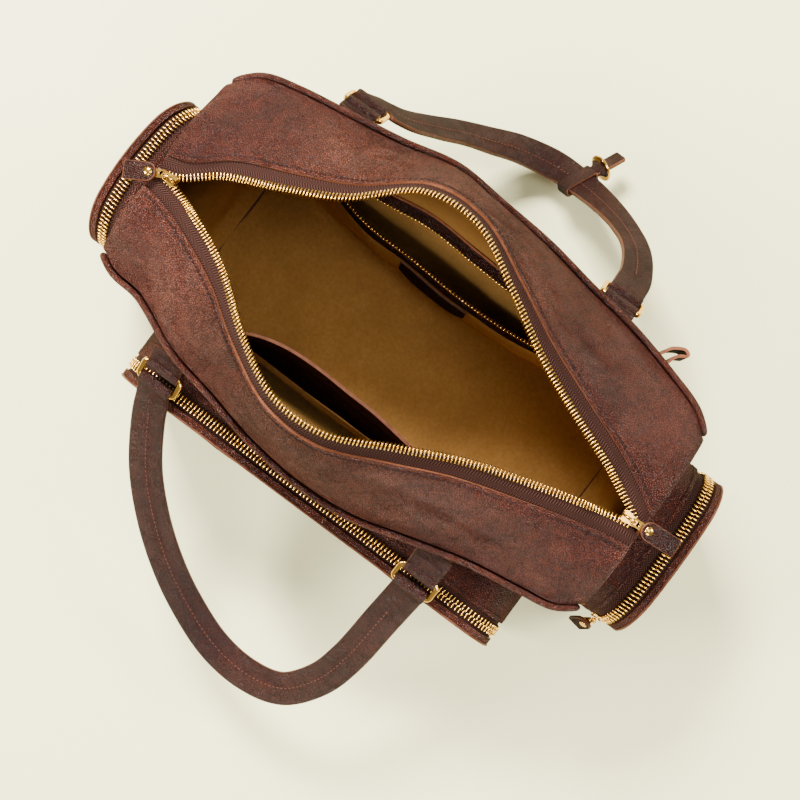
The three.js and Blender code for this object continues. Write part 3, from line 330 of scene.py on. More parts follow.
def loft(name, rings, materials, closed=False, index=None, sharp=38.0, node=None):
    """A solid through rings of points, capped unless closed; index gives a material for each side."""
    rings = np.asarray(rings, float)
    count, around = rings.shape[:2]
    points = rings.reshape(-1, 3)
    u = np.zeros(count)
    u[1:] = np.cumsum(np.linalg.norm(np.diff(rings.mean(axis=1), axis=0), axis=1))
    v = np.cumsum(np.linalg.norm(rings - np.roll(rings, 1, axis=1), axis=2), axis=1)
    uvs = np.stack([np.repeat(u[:, None], around, axis=1), v], axis=2).reshape(-1, 2) * MM
    indices = (index or [0] * around) * (count if closed else count - 1)
    if not closed:
        indices += [len(materials) - 1] * 2
    faces = outward(points, ring_faces(count, around, closed))
    return finish_mesh(name, points, faces, materials, indices, uvs, sharp, node)


def frames_along(path, closed=False):
    """Unit tangents along a line of points."""
    p = np.asarray(path, float)
    return unit_rows(np.roll(p, -1, axis=0) - np.roll(p, 1, axis=0) if closed else np.gradient(p, axis=0))


def tube_rings(path, radius, normal, sides, closed=False):
    """Rings of points round a path; normal is a fixed direction or one for each point."""
    p = np.asarray(path, float)
    t = frames_along(p, closed)
    side = unit_rows(np.cross(t, np.broadcast_to(np.asarray(normal, float), p.shape)))
    up = np.cross(side, t)
    angle = ((np.arange(sides) + 0.5) / sides * 2 * math.pi)[None, :, None]
    return p[:, None] + (side[:, None] * np.cos(angle) + up[:, None] * np.sin(angle)) * radius


def tube(name, path, radius, material, normal, closed=False, sides=8, node=None):
    rings = tube_rings(path, radius, normal, sides, closed)
    return loft(name, rings, [material], closed, sharp=80, node=node)


def march(path, pitch, start, end, *fields, centred=False):
    """Points every pitch along a line, with the unit tangents and other directions there."""
    p = np.asarray(path, float)
    s = np.concatenate([[0], np.cumsum(np.linalg.norm(np.diff(p, axis=0), axis=1))])
    total = s[-1] - start - end
    count = max(int(round(total / pitch)), 1)
    steps = np.arange(count) + 0.5 if centred else np.arange(count + 1)
    marks = start + steps * total / count

    def at(values):
        v = np.asarray(values, float)
        return np.stack([np.interp(marks, s, v[:, k]) for k in range(3)], axis=1)

    return [at(p)] + [unit_rows(at(v)) for v in (frames_along(p), *fields)]


def scatter(name, base, origins, axes, material, node=None):
    """One mesh of many copies of a small base shape, each in its own frame."""
    verts, faces = np.asarray(base[0], float), base[1]
    points = origins[:, None] + sum(axes[k][:, None] * verts[None, :, k:k + 1] for k in range(3))
    n = len(verts)
    copies = [tuple(i + k * n for i in f) for k in range(len(origins)) for f in faces]
    return finish_mesh(name, points.reshape(-1, 3), copies, [material], sharp=50, node=node)


def capsule(length, width, height, sides=6, rings=5):
    """A small rounded stitch lying along X."""
    verts = []
    for i in range(rings):
        a = math.pi * (i + 0.5) / rings
        r = math.sin(a) ** 0.55 / 2
        for b in np.linspace(0, 2 * math.pi, sides, endpoint=False):
            verts.append((-math.cos(a) * length / 2, math.cos(b) * width * r, math.sin(b) * height * r))
    return verts, outward(verts, ring_faces(rings, sides))


def bevelled_box(size, cut, taper=1.0):
    """A box with cut edges along X, Y, Z; its far end in Y is narrower by taper."""
    hx, hy, hz = (v / 2 for v in size)
    bm = bmesh.new()
    for sx in (-1, 1):
        for sy in (-1, 1):
            k = taper if sy > 0 else 1.0
            for sz in (-1, 1):
                for cx, cy, cz in ((cut, cut, 0), (cut, 0, cut), (0, cut, cut)):
                    bm.verts.new((sx * (hx - cx) * k, sy * (hy - cy), sz * (hz - cz)))
    bmesh.ops.convex_hull(bm, input=bm.verts)
    bmesh.ops.dissolve_limit(bm, angle_limit=math.radians(2), verts=bm.verts, edges=bm.edges)
    bm.normal_update()
    bm.verts.index_update()
    out = [tuple(v.co) for v in bm.verts], [tuple(v.index for v in f.verts) for f in bm.faces]
    bm.free()
    return out


def in_frame(verts, origin, axes):
    """Local points moved into a frame of three directions."""
    return np.asarray(origin, float) + np.asarray(verts, float) @ np.asarray(axes, float)


def circle(centre, u, v, ru, rv, count):
    """Points of an ellipse round a centre."""
    turns = np.linspace(0, 2 * math.pi, count, endpoint=False)
    return [centre + u * math.cos(a) * ru + v * math.sin(a) * rv for a in turns]


def rounded(hx, hy, r, count, cx=0.0):
    """Outline of a rectangle with round corners, from its half sizes."""
    points = []
    for sx, sy, first in ((1, 1, 0), (-1, 1, 1), (-1, -1, 2), (1, -1, 3)):
        for k in range(count):
            a = (first + k / (count - 1)) * math.pi / 2
            points.append((cx + sx * (hx - r) + math.cos(a) * r, sy * (hy - r) + math.sin(a) * r))
    return points


def bevel(piece, width):
    m = piece.modifiers.new("edges", "BEVEL")
    m.width = width * MM
    m.segments = 2
    m.limit_method = "ANGLE"
    m.angle_limit = math.radians(30.0)
    m.harden_normals = False


# Materials


class Look:
    """Builds a node material around a Principled shader. Colours are red, green and blue."""

    def __init__(self, name, **values):
        self.material = bpy.data.materials.new(name)
        self.material.use_nodes = True
        self.tree = self.material.node_tree
        self.shader = self.tree.nodes["Principled BSDF"]
        for key, value in values.items():
            self.shader.inputs[key.replace("_", " ")].default_value = value
        coordinates = self.node("TexCoord").outputs
        self.place, self.cloth = coordinates["Object"], coordinates["UV"]

    def node(self, kind, settings=None, **inputs):
        n = self.tree.nodes.new("ShaderNode" + kind)
        for key, value in (settings or {}).items():
            setattr(n, key, value)
        for key, value in inputs.items():
            numbered = key[0] == "i" and key[1:].isdigit()
            self.put(n.inputs[int(key[1:]) if numbered else key.replace("_", " ")], value)
        return n

    def put(self, socket, value):
        if isinstance(value, bpy.types.NodeSocket):
            self.tree.links.new(value, socket)
        elif socket.type == "RGBA":
            socket.default_value = (*value, 1.0)
        else:
            socket.default_value = value

    def math(self, operation, a, b=0.5):
        return self.node("Math", {"operation": operation}, i0=a, i1=b).outputs[0]

    def add(self, a, share_a, b, share_b):
        """Sum of two values with their shares."""
        return self.math("ADD", self.math("MULTIPLY", a, share_a), self.math("MULTIPLY", b, share_b))

    def range(self, value, low, high, to_low=0.0, to_high=1.0):
        n = self.node("MapRange", None, Value=value, From_Min=low, From_Max=high, To_Min=to_low,
                      To_Max=to_high)
        return n.outputs[0]

    def noise(self, place, scale, detail=2.0, roughness=0.5):
        n = self.node("TexNoise", None, Vector=place, Scale=scale, Detail=detail, Roughness=roughness)
        return n.outputs[0]

    def cells(self, place, scale, feature):
        return self.node("TexVoronoi", {"feature": feature}, Vector=place, Scale=scale).outputs["Distance"]

    def split(self, vector):
        return self.node("SeparateXYZ", None, Vector=vector).outputs

    def blend(self, factor, a, b):
        n = self.node("Mix", {"data_type": "RGBA", "blend_type": "MIX"})
        self.put(n.inputs[0], factor)
        self.put(n.inputs[6], a)
        self.put(n.inputs[7], b)
        return n.outputs[2]

    def bump(self, height, distance, strength=1.0, normal=None):
        n = self.node("Bump", None, Height=height, Distance=distance, Strength=strength)
        if normal is not None:
            self.put(n.inputs["Normal"], normal)
        return n.outputs[0]

    def set(self, name, value):
        self.put(self.shader.inputs[name], value)


def dim(colour, *shares):
    return tuple(v * k for v, k in zip(colour, shares))


def leather(name, low, mid, high, pebble=820.0, depth=1.0):
    """Grained leather: cells with fine valleys, crinkles, long creases, soft wrinkles and uneven dye; the
    valleys, crinkles and creases are darkened towards a near-black brown, partly as dye in the hollows and
    partly as painted shade.
    """
    m = Look(name, Coat_Weight=0.07, Coat_Roughness=0.24, Coat_IOR=3.5, Specular_IOR_Level=0.0)
    wander = m.node("TexNoise", None, Vector=m.place, Scale=240.0, Detail=3.0).outputs["Color"]
    warp = {"operation": "MULTIPLY_ADD"}
    moved = m.node("VectorMath", warp, i0=wander, i1=(0.0007,) * 3, i2=m.place).outputs[0]
    valley = m.range(m.cells(moved, pebble, "DISTANCE_TO_EDGE"), 0.02, 0.26)
    small = m.cells(moved, pebble * 2.1, "F1")
    crinkle = m.noise(moved, 900.0, 4.0, 0.66)
    streaks = m.noise(moved, 70.0, 7.0, 0.62)
    crease = m.range(m.math("ABSOLUTE", m.math("SUBTRACT", streaks, 0.5)), 0.0, 0.045)
    cloud = m.noise(m.place, 24.0, 5.0, 0.6)
    patch = m.noise(m.place, 8.0, 2.0, 0.5)
    ramp = m.node("ValToRGB", None, Fac=m.range(m.add(cloud, 0.65, patch, 0.45), 0.38, 0.72))
    stops = ramp.color_ramp.elements
    stops[0].color, stops[1].color = (*low, 1.0), (*high, 1.0)
    stops.new(0.5).color = (*mid, 1.0)
    # Painted shade, with some dye in the hollows: the grain's valleys, crinkles and creases are blended
    # towards this near-black brown.
    hollow_dye_and_shade = dim(low, 0.2, 0.16, 0.16)
    dye_and_hollow_shade = m.blend(m.range(crinkle, 0.38, 0.58, 0.22, 0.0), ramp.outputs[0], hollow_dye_and_shade)
    dye_and_hollow_shade = m.blend(m.range(valley, 0.0, 1.0, 0.92, 0.0), dye_and_hollow_shade, hollow_dye_and_shade)
    m.set("Base Color", m.blend(m.range(crease, 0.0, 1.0, 0.3, 0.0), dye_and_hollow_shade, hollow_dye_and_shade))
    m.set("Roughness", m.range(m.add(cloud, 0.5, crinkle, 0.5), 0.35, 0.65, 0.3, 0.5))
    soft = m.bump(m.noise(m.place, 30.0, 4.0, 0.5), 0.003, 0.8)
    lines = m.bump(crease, 0.0006 * depth, 0.8, soft)
    folds = m.bump(crinkle, 0.0006 * depth, 1.0, lines)
    grain = m.bump(m.add(valley, 0.7, small, 0.3), 0.0009 * depth, 1.0, folds)
    m.set("Normal", grain)
    m.set("Coat Normal", grain)
    return m.material


def plain_noise(name, low, high, roughness, scale, specular, bump=0.0001):
    """A smooth finish with slight mottling, for painted edges and thread."""
    m = Look(name, Roughness=roughness, Specular_IOR_Level=specular)
    cloud = m.noise(m.place, scale, 4.0, 0.6)
    m.set("Base Color", m.blend(m.range(cloud, 0.3, 0.7), low, high))
    m.set("Normal", m.bump(cloud, bump, 0.6))
    return m.material


def herringbone(name, dark, light, column=0.0028, pitch=0.0017):
    """Woven tape: diagonal ribs that turn back at each column. UV is in metres."""
    m = Look(name, Roughness=0.85, Specular_IOR_Level=0.08)
    u, v, _ = m.split(m.cloth)
    turned = m.math("ADD", v, m.math("PINGPONG", u, column))
    rib = m.range(m.math("SINE", m.math("MULTIPLY", turned, 2 * math.pi / pitch)), -1.0, 1.0)
    height = m.add(rib, 0.8, m.noise(m.place, 2400.0, 2.0), 0.3)
    m.set("Base Color", m.blend(m.range(height, 0.2, 1.0), dark, light))
    m.set("Normal", m.bump(height, 0.0004, 0.9))
    return m.material


def twill(name, dark, light, pitch=0.00085):
    """Diagonal weave with slubs, with painted shade that makes it darker towards the mouth. UV is in metres.
    """
    m = Look(name, Roughness=0.85, Specular_IOR_Level=0.0)
    u, v, _ = m.split(m.cloth)
    wave = m.math("SINE", m.math("MULTIPLY", m.add(u, 1.0, v, 0.8), 2 * math.pi / pitch))
    weft = m.math("SINE", m.math("MULTIPLY", v, 2 * math.pi / (pitch * 0.8)))
    cloth = m.range(m.add(wave, 0.6, weft, 0.3), -0.9, 0.9)
    height = m.add(cloth, 0.7, m.noise(m.place, 420.0, 3.0, 0.6), 0.5)
    base = m.blend(m.range(height, 0.2, 1.1), dark, light)
    cloud = m.noise(m.place, 26.0, 3.0, 0.6)
    worn = m.blend(m.range(cloud, 0.3, 0.75, 0.0, 0.35), base, dim(dark, 0.8, 0.75, 0.7))
    # Painted shade: the cloth is blended towards near-black with height, from 40 to 120 mm, where the upper
    # walls lie in shade.
    rise = m.range(m.split(m.place)[2], 0.04, 0.12, 0.0, 0.9)
    m.set("Base Color", m.blend(rise, worn, dim(dark, 0.25, 0.2, 0.15)))
    m.set("Normal", m.bump(height, 0.00025, 0.7, m.bump(m.noise(m.place, 30.0, 2.0), 0.0018, 0.5)))
    return m.material


def brass(name, base, roughness=(0.12, 0.24)):
    """Polished gold-coloured brass with faint scratches and worn tone."""
    m = Look(name, Metallic=1.0)
    cloud = m.noise(m.place, 140.0, 4.0, 0.6)
    stretch = m.node("Mapping", None, Vector=m.place, Scale=(400.0, 4000.0, 900.0)).outputs[0]
    scratch = m.noise(stretch, 1.0, 3.0, 0.7)
    m.set("Base Color", m.blend(m.range(cloud, 0.3, 0.7, 0.0, 0.4), base, dim(base, 0.9, 0.78, 0.6)))
    m.set("Roughness", m.range(m.add(cloud, 0.5, scratch, 0.5), 0.3, 0.7, *roughness))
    m.set("Normal", m.bump(scratch, 0.00002, 0.4))
    return m.material


HIDE = leather("brown_hide", (0.060, 0.0125, 0.0062), (0.104, 0.0245, 0.0128), (0.155, 0.043, 0.0245))
STRAP_HIDE = leather("strap_hide", (0.026, 0.0062, 0.0036), (0.044, 0.0112, 0.0064), (0.066, 0.0185, 0.011),
                     pebble=1000.0, depth=0.7)
DARK_HIDE = leather("dark_hide", (0.022, 0.0065, 0.0045), (0.04, 0.012, 0.008), (0.066, 0.021, 0.014))
FLESH = plain_noise("leather_back", (0.1, 0.045, 0.028), (0.15, 0.07, 0.042), 0.85, 500.0, 0.1)
EDGE_PAINT = plain_noise("edge_paint", (0.10, 0.032, 0.013), (0.17, 0.060, 0.028), 0.4, 300.0, 0.12)
DARK_EDGE = plain_noise("dark_edge_paint", (0.060, 0.019, 0.008), (0.11, 0.038, 0.018), 0.4, 300.0, 0.12)
THREAD = plain_noise("brown_thread", (0.006, 0.002, 0.0015), (0.013, 0.0045, 0.0035), 0.7, 1800.0, 0.1,
                     bump=0.00005)
LIGHT_THREAD = plain_noise("strap_thread", (0.075, 0.022, 0.010), (0.12, 0.038, 0.018), 0.7, 1800.0, 0.1,
                           bump=0.00005)
TAPE = herringbone("zip_tape_weave", (0.006, 0.0022, 0.0015), (0.046, 0.0175, 0.012))
LINING = twill("mustard_twill", (0.25, 0.12, 0.030), (0.72, 0.40, 0.12))
# Painted shade: a darkened copy of the mustard twill, for the inside of the inner zip pocket.
SHADED_POCKET_LINING = twill("shaded_pocket_twill", (0.10, 0.042, 0.008), (0.21, 0.10, 0.02))
GOLD = brass("gold_brass", (0.66, 0.38, 0.07))
TOOTH_GOLD = brass("tooth_brass", (0.78, 0.46, 0.09), (0.18, 0.3))


def stitches(name, path, normals, pitch=2.9, length=2.2, width=0.8, height=0.55, lift=0.1, ends=2.0,
             material=THREAD):
    """A row of thread stitches along a line on a surface."""
    points, run, up = march(path, pitch, ends, ends, normals, centred=True)
    cross = unit_rows(np.cross(up, run))
    axes = (np.cross(cross, up), cross, up)
    return scatter(name, capsule(length, width, height), points + up * lift, axes, material)


# Body: top strips

# Columns: side, x and across at one end, x and across at the other, width, depth
CREASES = [
    (1, -18.0, 52.0, 28.0, 14.0, 7.0, -1.9),
    (1, 22.0, 50.0, 60.0, 8.0, 8.0, 1.5),
    (1, 62.0, 46.0, 128.0, 18.0, 6.0, -1.3),
    (1, -75.0, 40.0, -120.0, 12.0, 7.0, 1.1),
    (1, -58.0, 30.0, -40.0, 6.0, 5.0, -0.9),
    (-1, -62.0, 52.0, -84.0, 10.0, 4.5, -1.8),
    (-1, -50.0, 50.0, -66.0, 16.0, 5.0, 1.3),
    (-1, 30.0, 44.0, 108.0, 22.0, 6.0, 1.2),
    (-1, 52.0, 34.0, 132.0, 12.0, 5.0, -1.2),
    (-1, -128.0, 40.0, -104.0, 8.0, 6.0, -1.0),
]


def crease_height(side, x, across):
    total = 0.0
    for where, x0, a0, x1, a1, width, depth in CREASES:
        if where != side:
            continue
        run = np.array([x1 - x0, a1 - a0])
        span = float(np.hypot(*run))
        d = np.array([x - x0, across - a0])
        share = float(d @ run) / span ** 2
        off = abs(float(d[0] * run[1] - d[1] * run[0])) / span
        fade = smooth((share + 0.15) / 0.35) * smooth((1.15 - share) / 0.35)
        total += depth * fade * math.exp(-(off / width) ** 2)
    return total


def strip_relief(side, x, t, length):
    """Height of waves, creases, stitch groove and rolled edges on a top strip."""
    across = t * length
    shift = 300.0 * side
    soft = 1.9 * wobble(x, across * 1.3 + shift, 0, 42) + 0.95 * wobble(x, across * 1.8 + shift, 40, 17)
    near_edges = smooth(t / 0.2) * smooth((1 - t) / 0.14)
    from_edge = (1 - t) * length
    groove = -0.45 * math.exp(-(((from_edge - STITCH_INSET) / 0.9) ** 2))
    roll = -0.55 * math.exp(-(from_edge / 0.9) ** 2)
    foot_roll = -0.8 * math.exp(-(across / 2.2) ** 2)
    return (soft + crease_height(side, x, across)) * near_edges + groove + roll + foot_roll


def top_strip(side, name):
    xs = np.concatenate([[-173.0, -172.2], np.linspace(-170.5, 170.5, 200), [172.2, 173.0]])
    shares = 1 - (1 - np.linspace(0, 1, 36)) ** 1.6
    outer, inner, seam, seam_up = [], [], [], []
    for x in xs:
        s = Strip(side, x)
        end_drop = 0.9 * smooth((abs(x) - 169.5) / 3.5) ** 2
        heights = [strip_relief(side, x, t, s.length) - end_drop for t in shares]
        outer.append([place(side, x, s.point(t, -h)) for t, h in zip(shares, heights)])
        inner.append([place(side, x, s.point(t, LEATHER - clamp(h, -1.0, 1.0)))
                      for t, h in zip(shares, heights)])
        t = 1 - STITCH_INSET / s.length
        tangent = s.tangent_at(t)
        seam.append(place(side, x, s.point(t, 0.25)))
        seam_up.append([0, side * tangent[1], -tangent[0]])
    shell(name, outer, inner, [HIDE, FLESH, EDGE_PAINT], node=name)
    stitches(name + "_stitches", seam, seam_up, pitch=3.1, width=1.25, height=0.7, lift=0.12, ends=4.0)


top_strip(1, "top_strip_back")
top_strip(-1, "top_strip_front")


# Main zip


def zip_side(side, word):
    outer, inner, centres, normals, crosses = [], [], [], [], []
    for x in np.linspace(-172.0, 172.0, 190):
        s, reach, tangent, normal, centre = teeth_at(side, x)
        far = reach - TEETH_WIDTH / 2 + 0.5
        for rows, depth in ((outer, TAPE_DEPTH), (inner, TAPE_DEPTH + TAPE_THICKNESS)):
            row = [s.point(t, depth) for t in (0.72, 0.82, 0.9, 0.96)]
            for k in np.linspace(0, 1, 7):
                ripple = 0.18 * wobble(x, k * 9, 60 * side, 9)
                row.append(s.point(1, depth) + tangent * far * k + normal * ripple)
            rows.append([place(side, x, p) for p in reversed(row)])
        if abs(x) <= TEETH_END - 1.5:
            centres.append(place(side, x, centre))
            normals.append(place(side, 0, normal))
            crosses.append(place(side, 0, tangent))
    shell("zip_tape_" + word, outer, inner, [TAPE] * 3, node="zip_tape_" + word)
    shift = 0.0 if side > 0 else TEETH_PITCH / 2
    points, t, up, inward = march(centres, TEETH_PITCH, shift, 0.0, normals, crosses)
    cross = unit_rows(np.cross(up, t))
    cross = cross * np.sign(np.einsum("ij,ij->i", cross, inward))[:, None]
    tooth = bevelled_box((1.0, 4.6, 2.7), 0.28, 0.8)
    scatter("zip_teeth_" + word, tooth, points - cross * 0.25, (np.cross(cross, up), cross, up), TOOTH_GOLD,
            "zip_teeth_" + word)
    cord = np.asarray(centres) - np.asarray(crosses) * 1.15
    tube("zip_cord_" + word, cord, 0.75, TAPE, normals)


zip_side(1, "back")
zip_side(-1, "front")


def join_parts(parts):
    """Several point and face lists as one."""
    points, faces = [], []
    for verts, polygons in parts:
        shift = len(points)
        points += [tuple(v) for v in verts]
        faces += [tuple(i + shift for i in f) for f in polygons]
    return points, faces


def prism(outline, low, high):
    """A flat plate with an outline in X and Y."""
    verts = [(x, y, z) for z in (low, high) for x, y in outline]
    return verts, outward(verts, ring_faces(2, len(outline)))


def slider_shape(length=9.6, wide=7.6, narrow=5.2, plate=1.15, gap=3.1, bridge=3.4):
    """A zip slider: two plates, side rails and a bridge. X leads to the closed end, Z is up."""
    h = length / 2
    waist = narrow / 2 + 0.25
    half = [
        (h, narrow / 2 - 0.8), (h - 0.9, narrow / 2), (0.5, waist), (-h + 1.8, wide / 2),
        (-h + 0.5, wide / 2 - 0.5), (-h, wide / 2 - 1.4), (-h + 0.6, 0),
    ]
    full = half + [(x, -y) for x, y in reversed(half[:-1])]
    top = gap / 2 + plate
    parts = [prism(full, gap / 2, top), prism(full, -top, -gap / 2)]
    for s in (-1, 1):
        rail = [(h - 0.4, s * (narrow / 2 - 0.7)), (h - 0.4, s * narrow / 2), (0.5, s * waist),
                (0.5, s * (waist - 0.7))]
        parts.append(prism(rail, -gap / 2, gap / 2))
    arch = [(-math.cos(a) * (h - 1.3), 0.0, top - 0.3 + math.sin(a) ** 0.7 * bridge)
            for a in np.linspace(0, math.pi, 11)]
    verts = tube_rings(arch, 0.85, (0.0, 1.0, 0.0), 10).reshape(-1, 3)
    parts.append((verts, outward(verts, ring_faces(len(arch), 10))))
    return join_parts(parts)


def zip_slider(name, node, origin, run, up, **sizes):
    run, up = unit(run), unit(up)
    verts, faces = slider_shape(**sizes)
    points = in_frame(verts, origin, [run, np.cross(up, run), up])
    bevel(finish_mesh(name, points, faces, [GOLD], sharp=35, node=node), 0.22)


def plate(name, outline, origin, axes, low, high, materials, crown, node=None):
    """A flat leather shape with softened faces and painted sides."""
    o = np.asarray(outline, float)
    centre = o.mean(axis=0)
    d = o - centre
    r = np.linalg.norm(d, axis=1)[:, None]
    n = len(o)
    soft = 0.45
    levels = [
        (3.4, low), (soft, low), (0, low + soft * 0.6), (0, high - soft * 0.6), (soft, high),
        (1.2, high + crown * 0.4), (3.4, high + crown),
    ]
    verts = [np.concatenate([centre + d * (1 - shrink / r), np.full((n, 1), z)], axis=1)
             for shrink, z in levels]
    points = in_frame(np.concatenate(verts), origin, axes)
    index = [1 if 1 <= i <= 3 else 0 for i in range(len(levels) - 1) for _ in range(n)] + [0, 0]
    faces = outward(points, ring_faces(len(levels), n))
    return finish_mesh(name, points, faces, materials, index, sharp=42, node=node)


LINK_START = 4.4
LINK_HALF = 0.45
TAB_WIDTH = 11.0
TAB_SEAT = 0.65
TAB_TOP = TAB_SEAT + 2.4
RIVET_SPOT = 8.6
RIVET_RADIUS = 2.7


def zip_pull(name, node_link, node_tab, eye, direction, up, length):
    """A brass link, a leather tab with a round end and a rivet."""
    t = unit(direction)
    w = unit(np.cross(up, t))
    axes = [t, w, np.cross(t, w)]

    def frame_ring(outline):
        return [in_frame([(x, y, z) for x, y in outline], eye, axes) for z in (-LINK_HALF, LINK_HALF)]

    outer, inner = rounded(6.4, 2.5, 1.9, 5, 4.4), rounded(1.9, 1.45, 1.2, 5, 0.9)
    link = shell(name + "_link", frame_ring(outer), frame_ring(inner), [GOLD] * 3, loop=True,
                 node=node_link)
    bevel(link, 0.18)
    half = TAB_WIDTH * 0.45
    outline = [(LINK_START + half + math.cos(a) * half, math.sin(a) * TAB_WIDTH / 2)
               for a in np.linspace(math.pi / 2, math.pi * 1.5, 13)]
    r = 0.9
    end = LINK_START + length - r
    for cy, first in ((-TAB_WIDTH / 2 + r, 3), (TAB_WIDTH / 2 - r, 0)):
        for k in range(4):
            a = (first + k / 3) * math.pi / 2
            outline.append((end + math.cos(a) * r, cy + math.sin(a) * r))
    plate(name + "_tab", outline, eye, axes, TAB_SEAT, TAB_TOP, [STRAP_HIDE, DARK_EDGE], 0.35, node_tab)
    turns = [k / 6 * math.pi / 2 for k in range(6)]
    levels = [(RIVET_RADIUS, TAB_TOP - 0.4)]
    levels += [(math.cos(a) * RIVET_RADIUS, TAB_TOP + 0.15 + math.sin(a) * 1.1) for a in turns]
    rings = [circle(in_frame((RIVET_SPOT, 0, z), eye, axes), axes[0], axes[1], r, r, 24) for r, z in levels]
    loft(name + "_rivet", rings, [GOLD], sharp=60)


for hand, sign, direction, length in (("left", -1, (-0.85, -0.47, -0.1), 19.0),
                                      ("right", 1, (0.98, 0.06, -0.08), 23.0)):
    x = sign * SLIDER_SPOT
    y, z = zip_centre(x), teeth_at(1, x)[4][1]
    zip_slider("slider_body_" + hand, "slider_" + hand, (x - sign * 0.4, y, z), (sign, 0, 0), (0, 0, 1))
    eye = (x + sign * 2.9, y, z + TEETH_HEIGHT / 2 + CLEARANCE + 1.3 + 1.15)
    zip_pull("pull_" + hand, "pull_link_" + hand, "pull_tab_" + hand, eye, direction, (0, 0, 1), length)


# Panels, gusset and piping

PIPING_ROOM = 2 * PIPING_RADIUS - PIPING_PROUD + CLEARANCE


def panel_rows(side, lift, puff):
    radius = BASE_CORNER - PIPING_ROOM
    low, high = PIPING_ROOM + 0.2, BODY_HEIGHT - PIPING_ROOM - 0.6
    corner = low + radius * (1 - np.cos(np.linspace(0, math.pi / 2, 10)))
    rows = []
    for z in np.concatenate([corner, np.linspace(low + radius, high, 40)[1:]]):
        rise = min(z - low, radius)
        inset = radius - math.sqrt(max(radius ** 2 - (radius - rise) ** 2, 0))
        half = half_at(z) - PIPING_ROOM - 0.4 - inset
        row = []
        for x in np.linspace(-half, half, 110):
            inside = smooth((half - abs(x)) / 22) * smooth((z - low) / 16) * smooth((high - z) / 16)
            soft = 1.7 * wobble(x, z * 1.1, 90 * side, 46) + 0.6 * wobble(x, z, 50 * side, 18)
            row.append([x, side * (panel_at(side, x, z) + lift + puff * (soft + 0.6) * inside), z])
        rows.append(row)
    return rows


def body_outline(inset):
    points = [[-(half_at(z) - inset), z] for z in np.linspace(152, 24, 26)]
    half = half_at(BASE_CORNER) - BASE_CORNER
    r = BASE_CORNER - inset
    for a in np.linspace(0, math.pi / 2, 13):
        points.append([-(half + math.cos(a) * r), BASE_CORNER - math.sin(a) * r])
    for share in np.linspace(1, 0, 28)[1:]:
        points.append([-(half_at(0) - BASE_CORNER) * share, inset])
    return points + [[-x, z] for x, z in reversed(points[:-1])]


def reach_at(side, x, z):
    return panel_at(side, x, z) + PIPING_PROUD - 2 * PIPING_RADIUS - CLEARANCE - 0.3


def side_of(share):
    return -1 if share < 0 else 1


def gusset():
    shares = np.linspace(-1, 1, 33)

    def top_at(x, share):
        side = side_of(share)
        s = Strip(side, x)
        y = abs(share) * reach_at(side, x, BODY_HEIGHT)
        foot = s.point(0, 0)
        t = clamp((foot[0] - y) / (foot[0] - s.edge[0]))
        near = smooth((30 - abs(side * y - zip_centre(x))) / 6)
        return s.point(t, 0)[1] - mix(LEATHER + 0.5, 5.0, near)

    def upper(sign, inset, k):
        x = sign * (half_at(BODY_HEIGHT) - inset)
        return [[x, share * reach_at(side_of(share), x, BODY_HEIGHT), mix(top_at(x, share), 153, k)]
                for share in shares]

    def band(inset):
        middle = []
        for x, z in body_outline(inset):
            row = []
            for share in shares:
                calm = (1 - abs(share) ** 4) * smooth(z / 25) * smooth((158 - z) / 20)
                soft = math.copysign(1.2 * wobble(share * 60, z, x, 34) * calm, x) if z > 5 else 0
                row.append([x + soft, share * reach_at(side_of(share), x, z), z])
            middle.append(row)
        left = [upper(-1, inset, k) for k in (0.0, 0.35, 0.7)]
        return left + middle + [upper(1, inset, k) for k in (0.7, 0.35, 0.0)]

    shell("gusset_leather", band(0.0), band(PANEL_LEATHER), [HIDE, FLESH, EDGE_PAINT], node="gusset")


def piping(side, word):
    inset = PIPING_RADIUS
    end = half_at(BODY_HEIGHT) - inset
    corner = 4.0
    turn = [[end - corner * (1 - math.cos(a)), BODY_HEIGHT - inset - corner * (1 - math.sin(a))]
            for a in np.linspace(0, math.pi / 2, 6)]
    top = [[x, BODY_HEIGHT - inset] for x in np.linspace(end - corner, -(end - corner), 120)][1:-1]
    path = body_outline(inset) + turn + top + [[-x, z] for x, z in reversed(turn)]
    points = [[x, side * (panel_at(side, x, z) + PIPING_PROUD - PIPING_RADIUS), z] for x, z in path]
    tube(word + "_piping_cord", points, PIPING_RADIUS, HIDE, [0, 1, 0], closed=True, sides=12,
         node=word + "_piping")


for side, word, puff in ((1, "back", 1.0), (-1, "front", 0.25)):
    shell(word + "_panel_leather", panel_rows(side, 0, puff), panel_rows(side, -PANEL_LEATHER, puff),
          [HIDE, FLESH, EDGE_PAINT], node=word + "_panel")
gusset()
piping(1, "back")
piping(-1, "front")


# Lining

LINING_TOP = 146.0
LINING_KNEE = 12.0


def lining_at(side, x, z):
    sag = LINING_SAG * math.sin(math.pi * clamp(z / BODY_HEIGHT))
    return panel_at(side, x, z) - PANEL_LEATHER - 1.2 - sag


def lining_section(side, x):
    """Points of one half of the pouch, from under the strip to the edge of the floor."""
    s = Strip(side, x)
    points = [s.point(t, 3.6) for t in (0.94, 0.85, 0.7, 0.5, 0.3, 0.1)]
    for z in np.linspace(LINING_TOP, LINING_KNEE, 26):
        fold = 1.6 * wobble(x, z * 0.7, 70 * side, 30) * smooth((LINING_TOP - z) / 30)
        points.append((lining_at(side, x, z) - abs(fold), z))
    low = lining_at(side, x, LINING_KNEE)
    for k in np.linspace(0.25, 1, 4):
        a = k * math.pi / 2
        points.append((low - 8 + 8 * math.cos(a), LINING_KNEE - 8.0 * math.sin(a)))
    return points


def lining_half(z, gap):
    """Half length inside the ends and the rounded base, with a gap to the leather."""
    radius = BASE_CORNER - gap
    inset = radius - math.sqrt(max(radius ** 2 - max(BASE_CORNER - z, 0) ** 2, 0))
    return half_at(min(z, BODY_HEIGHT)) - gap - inset


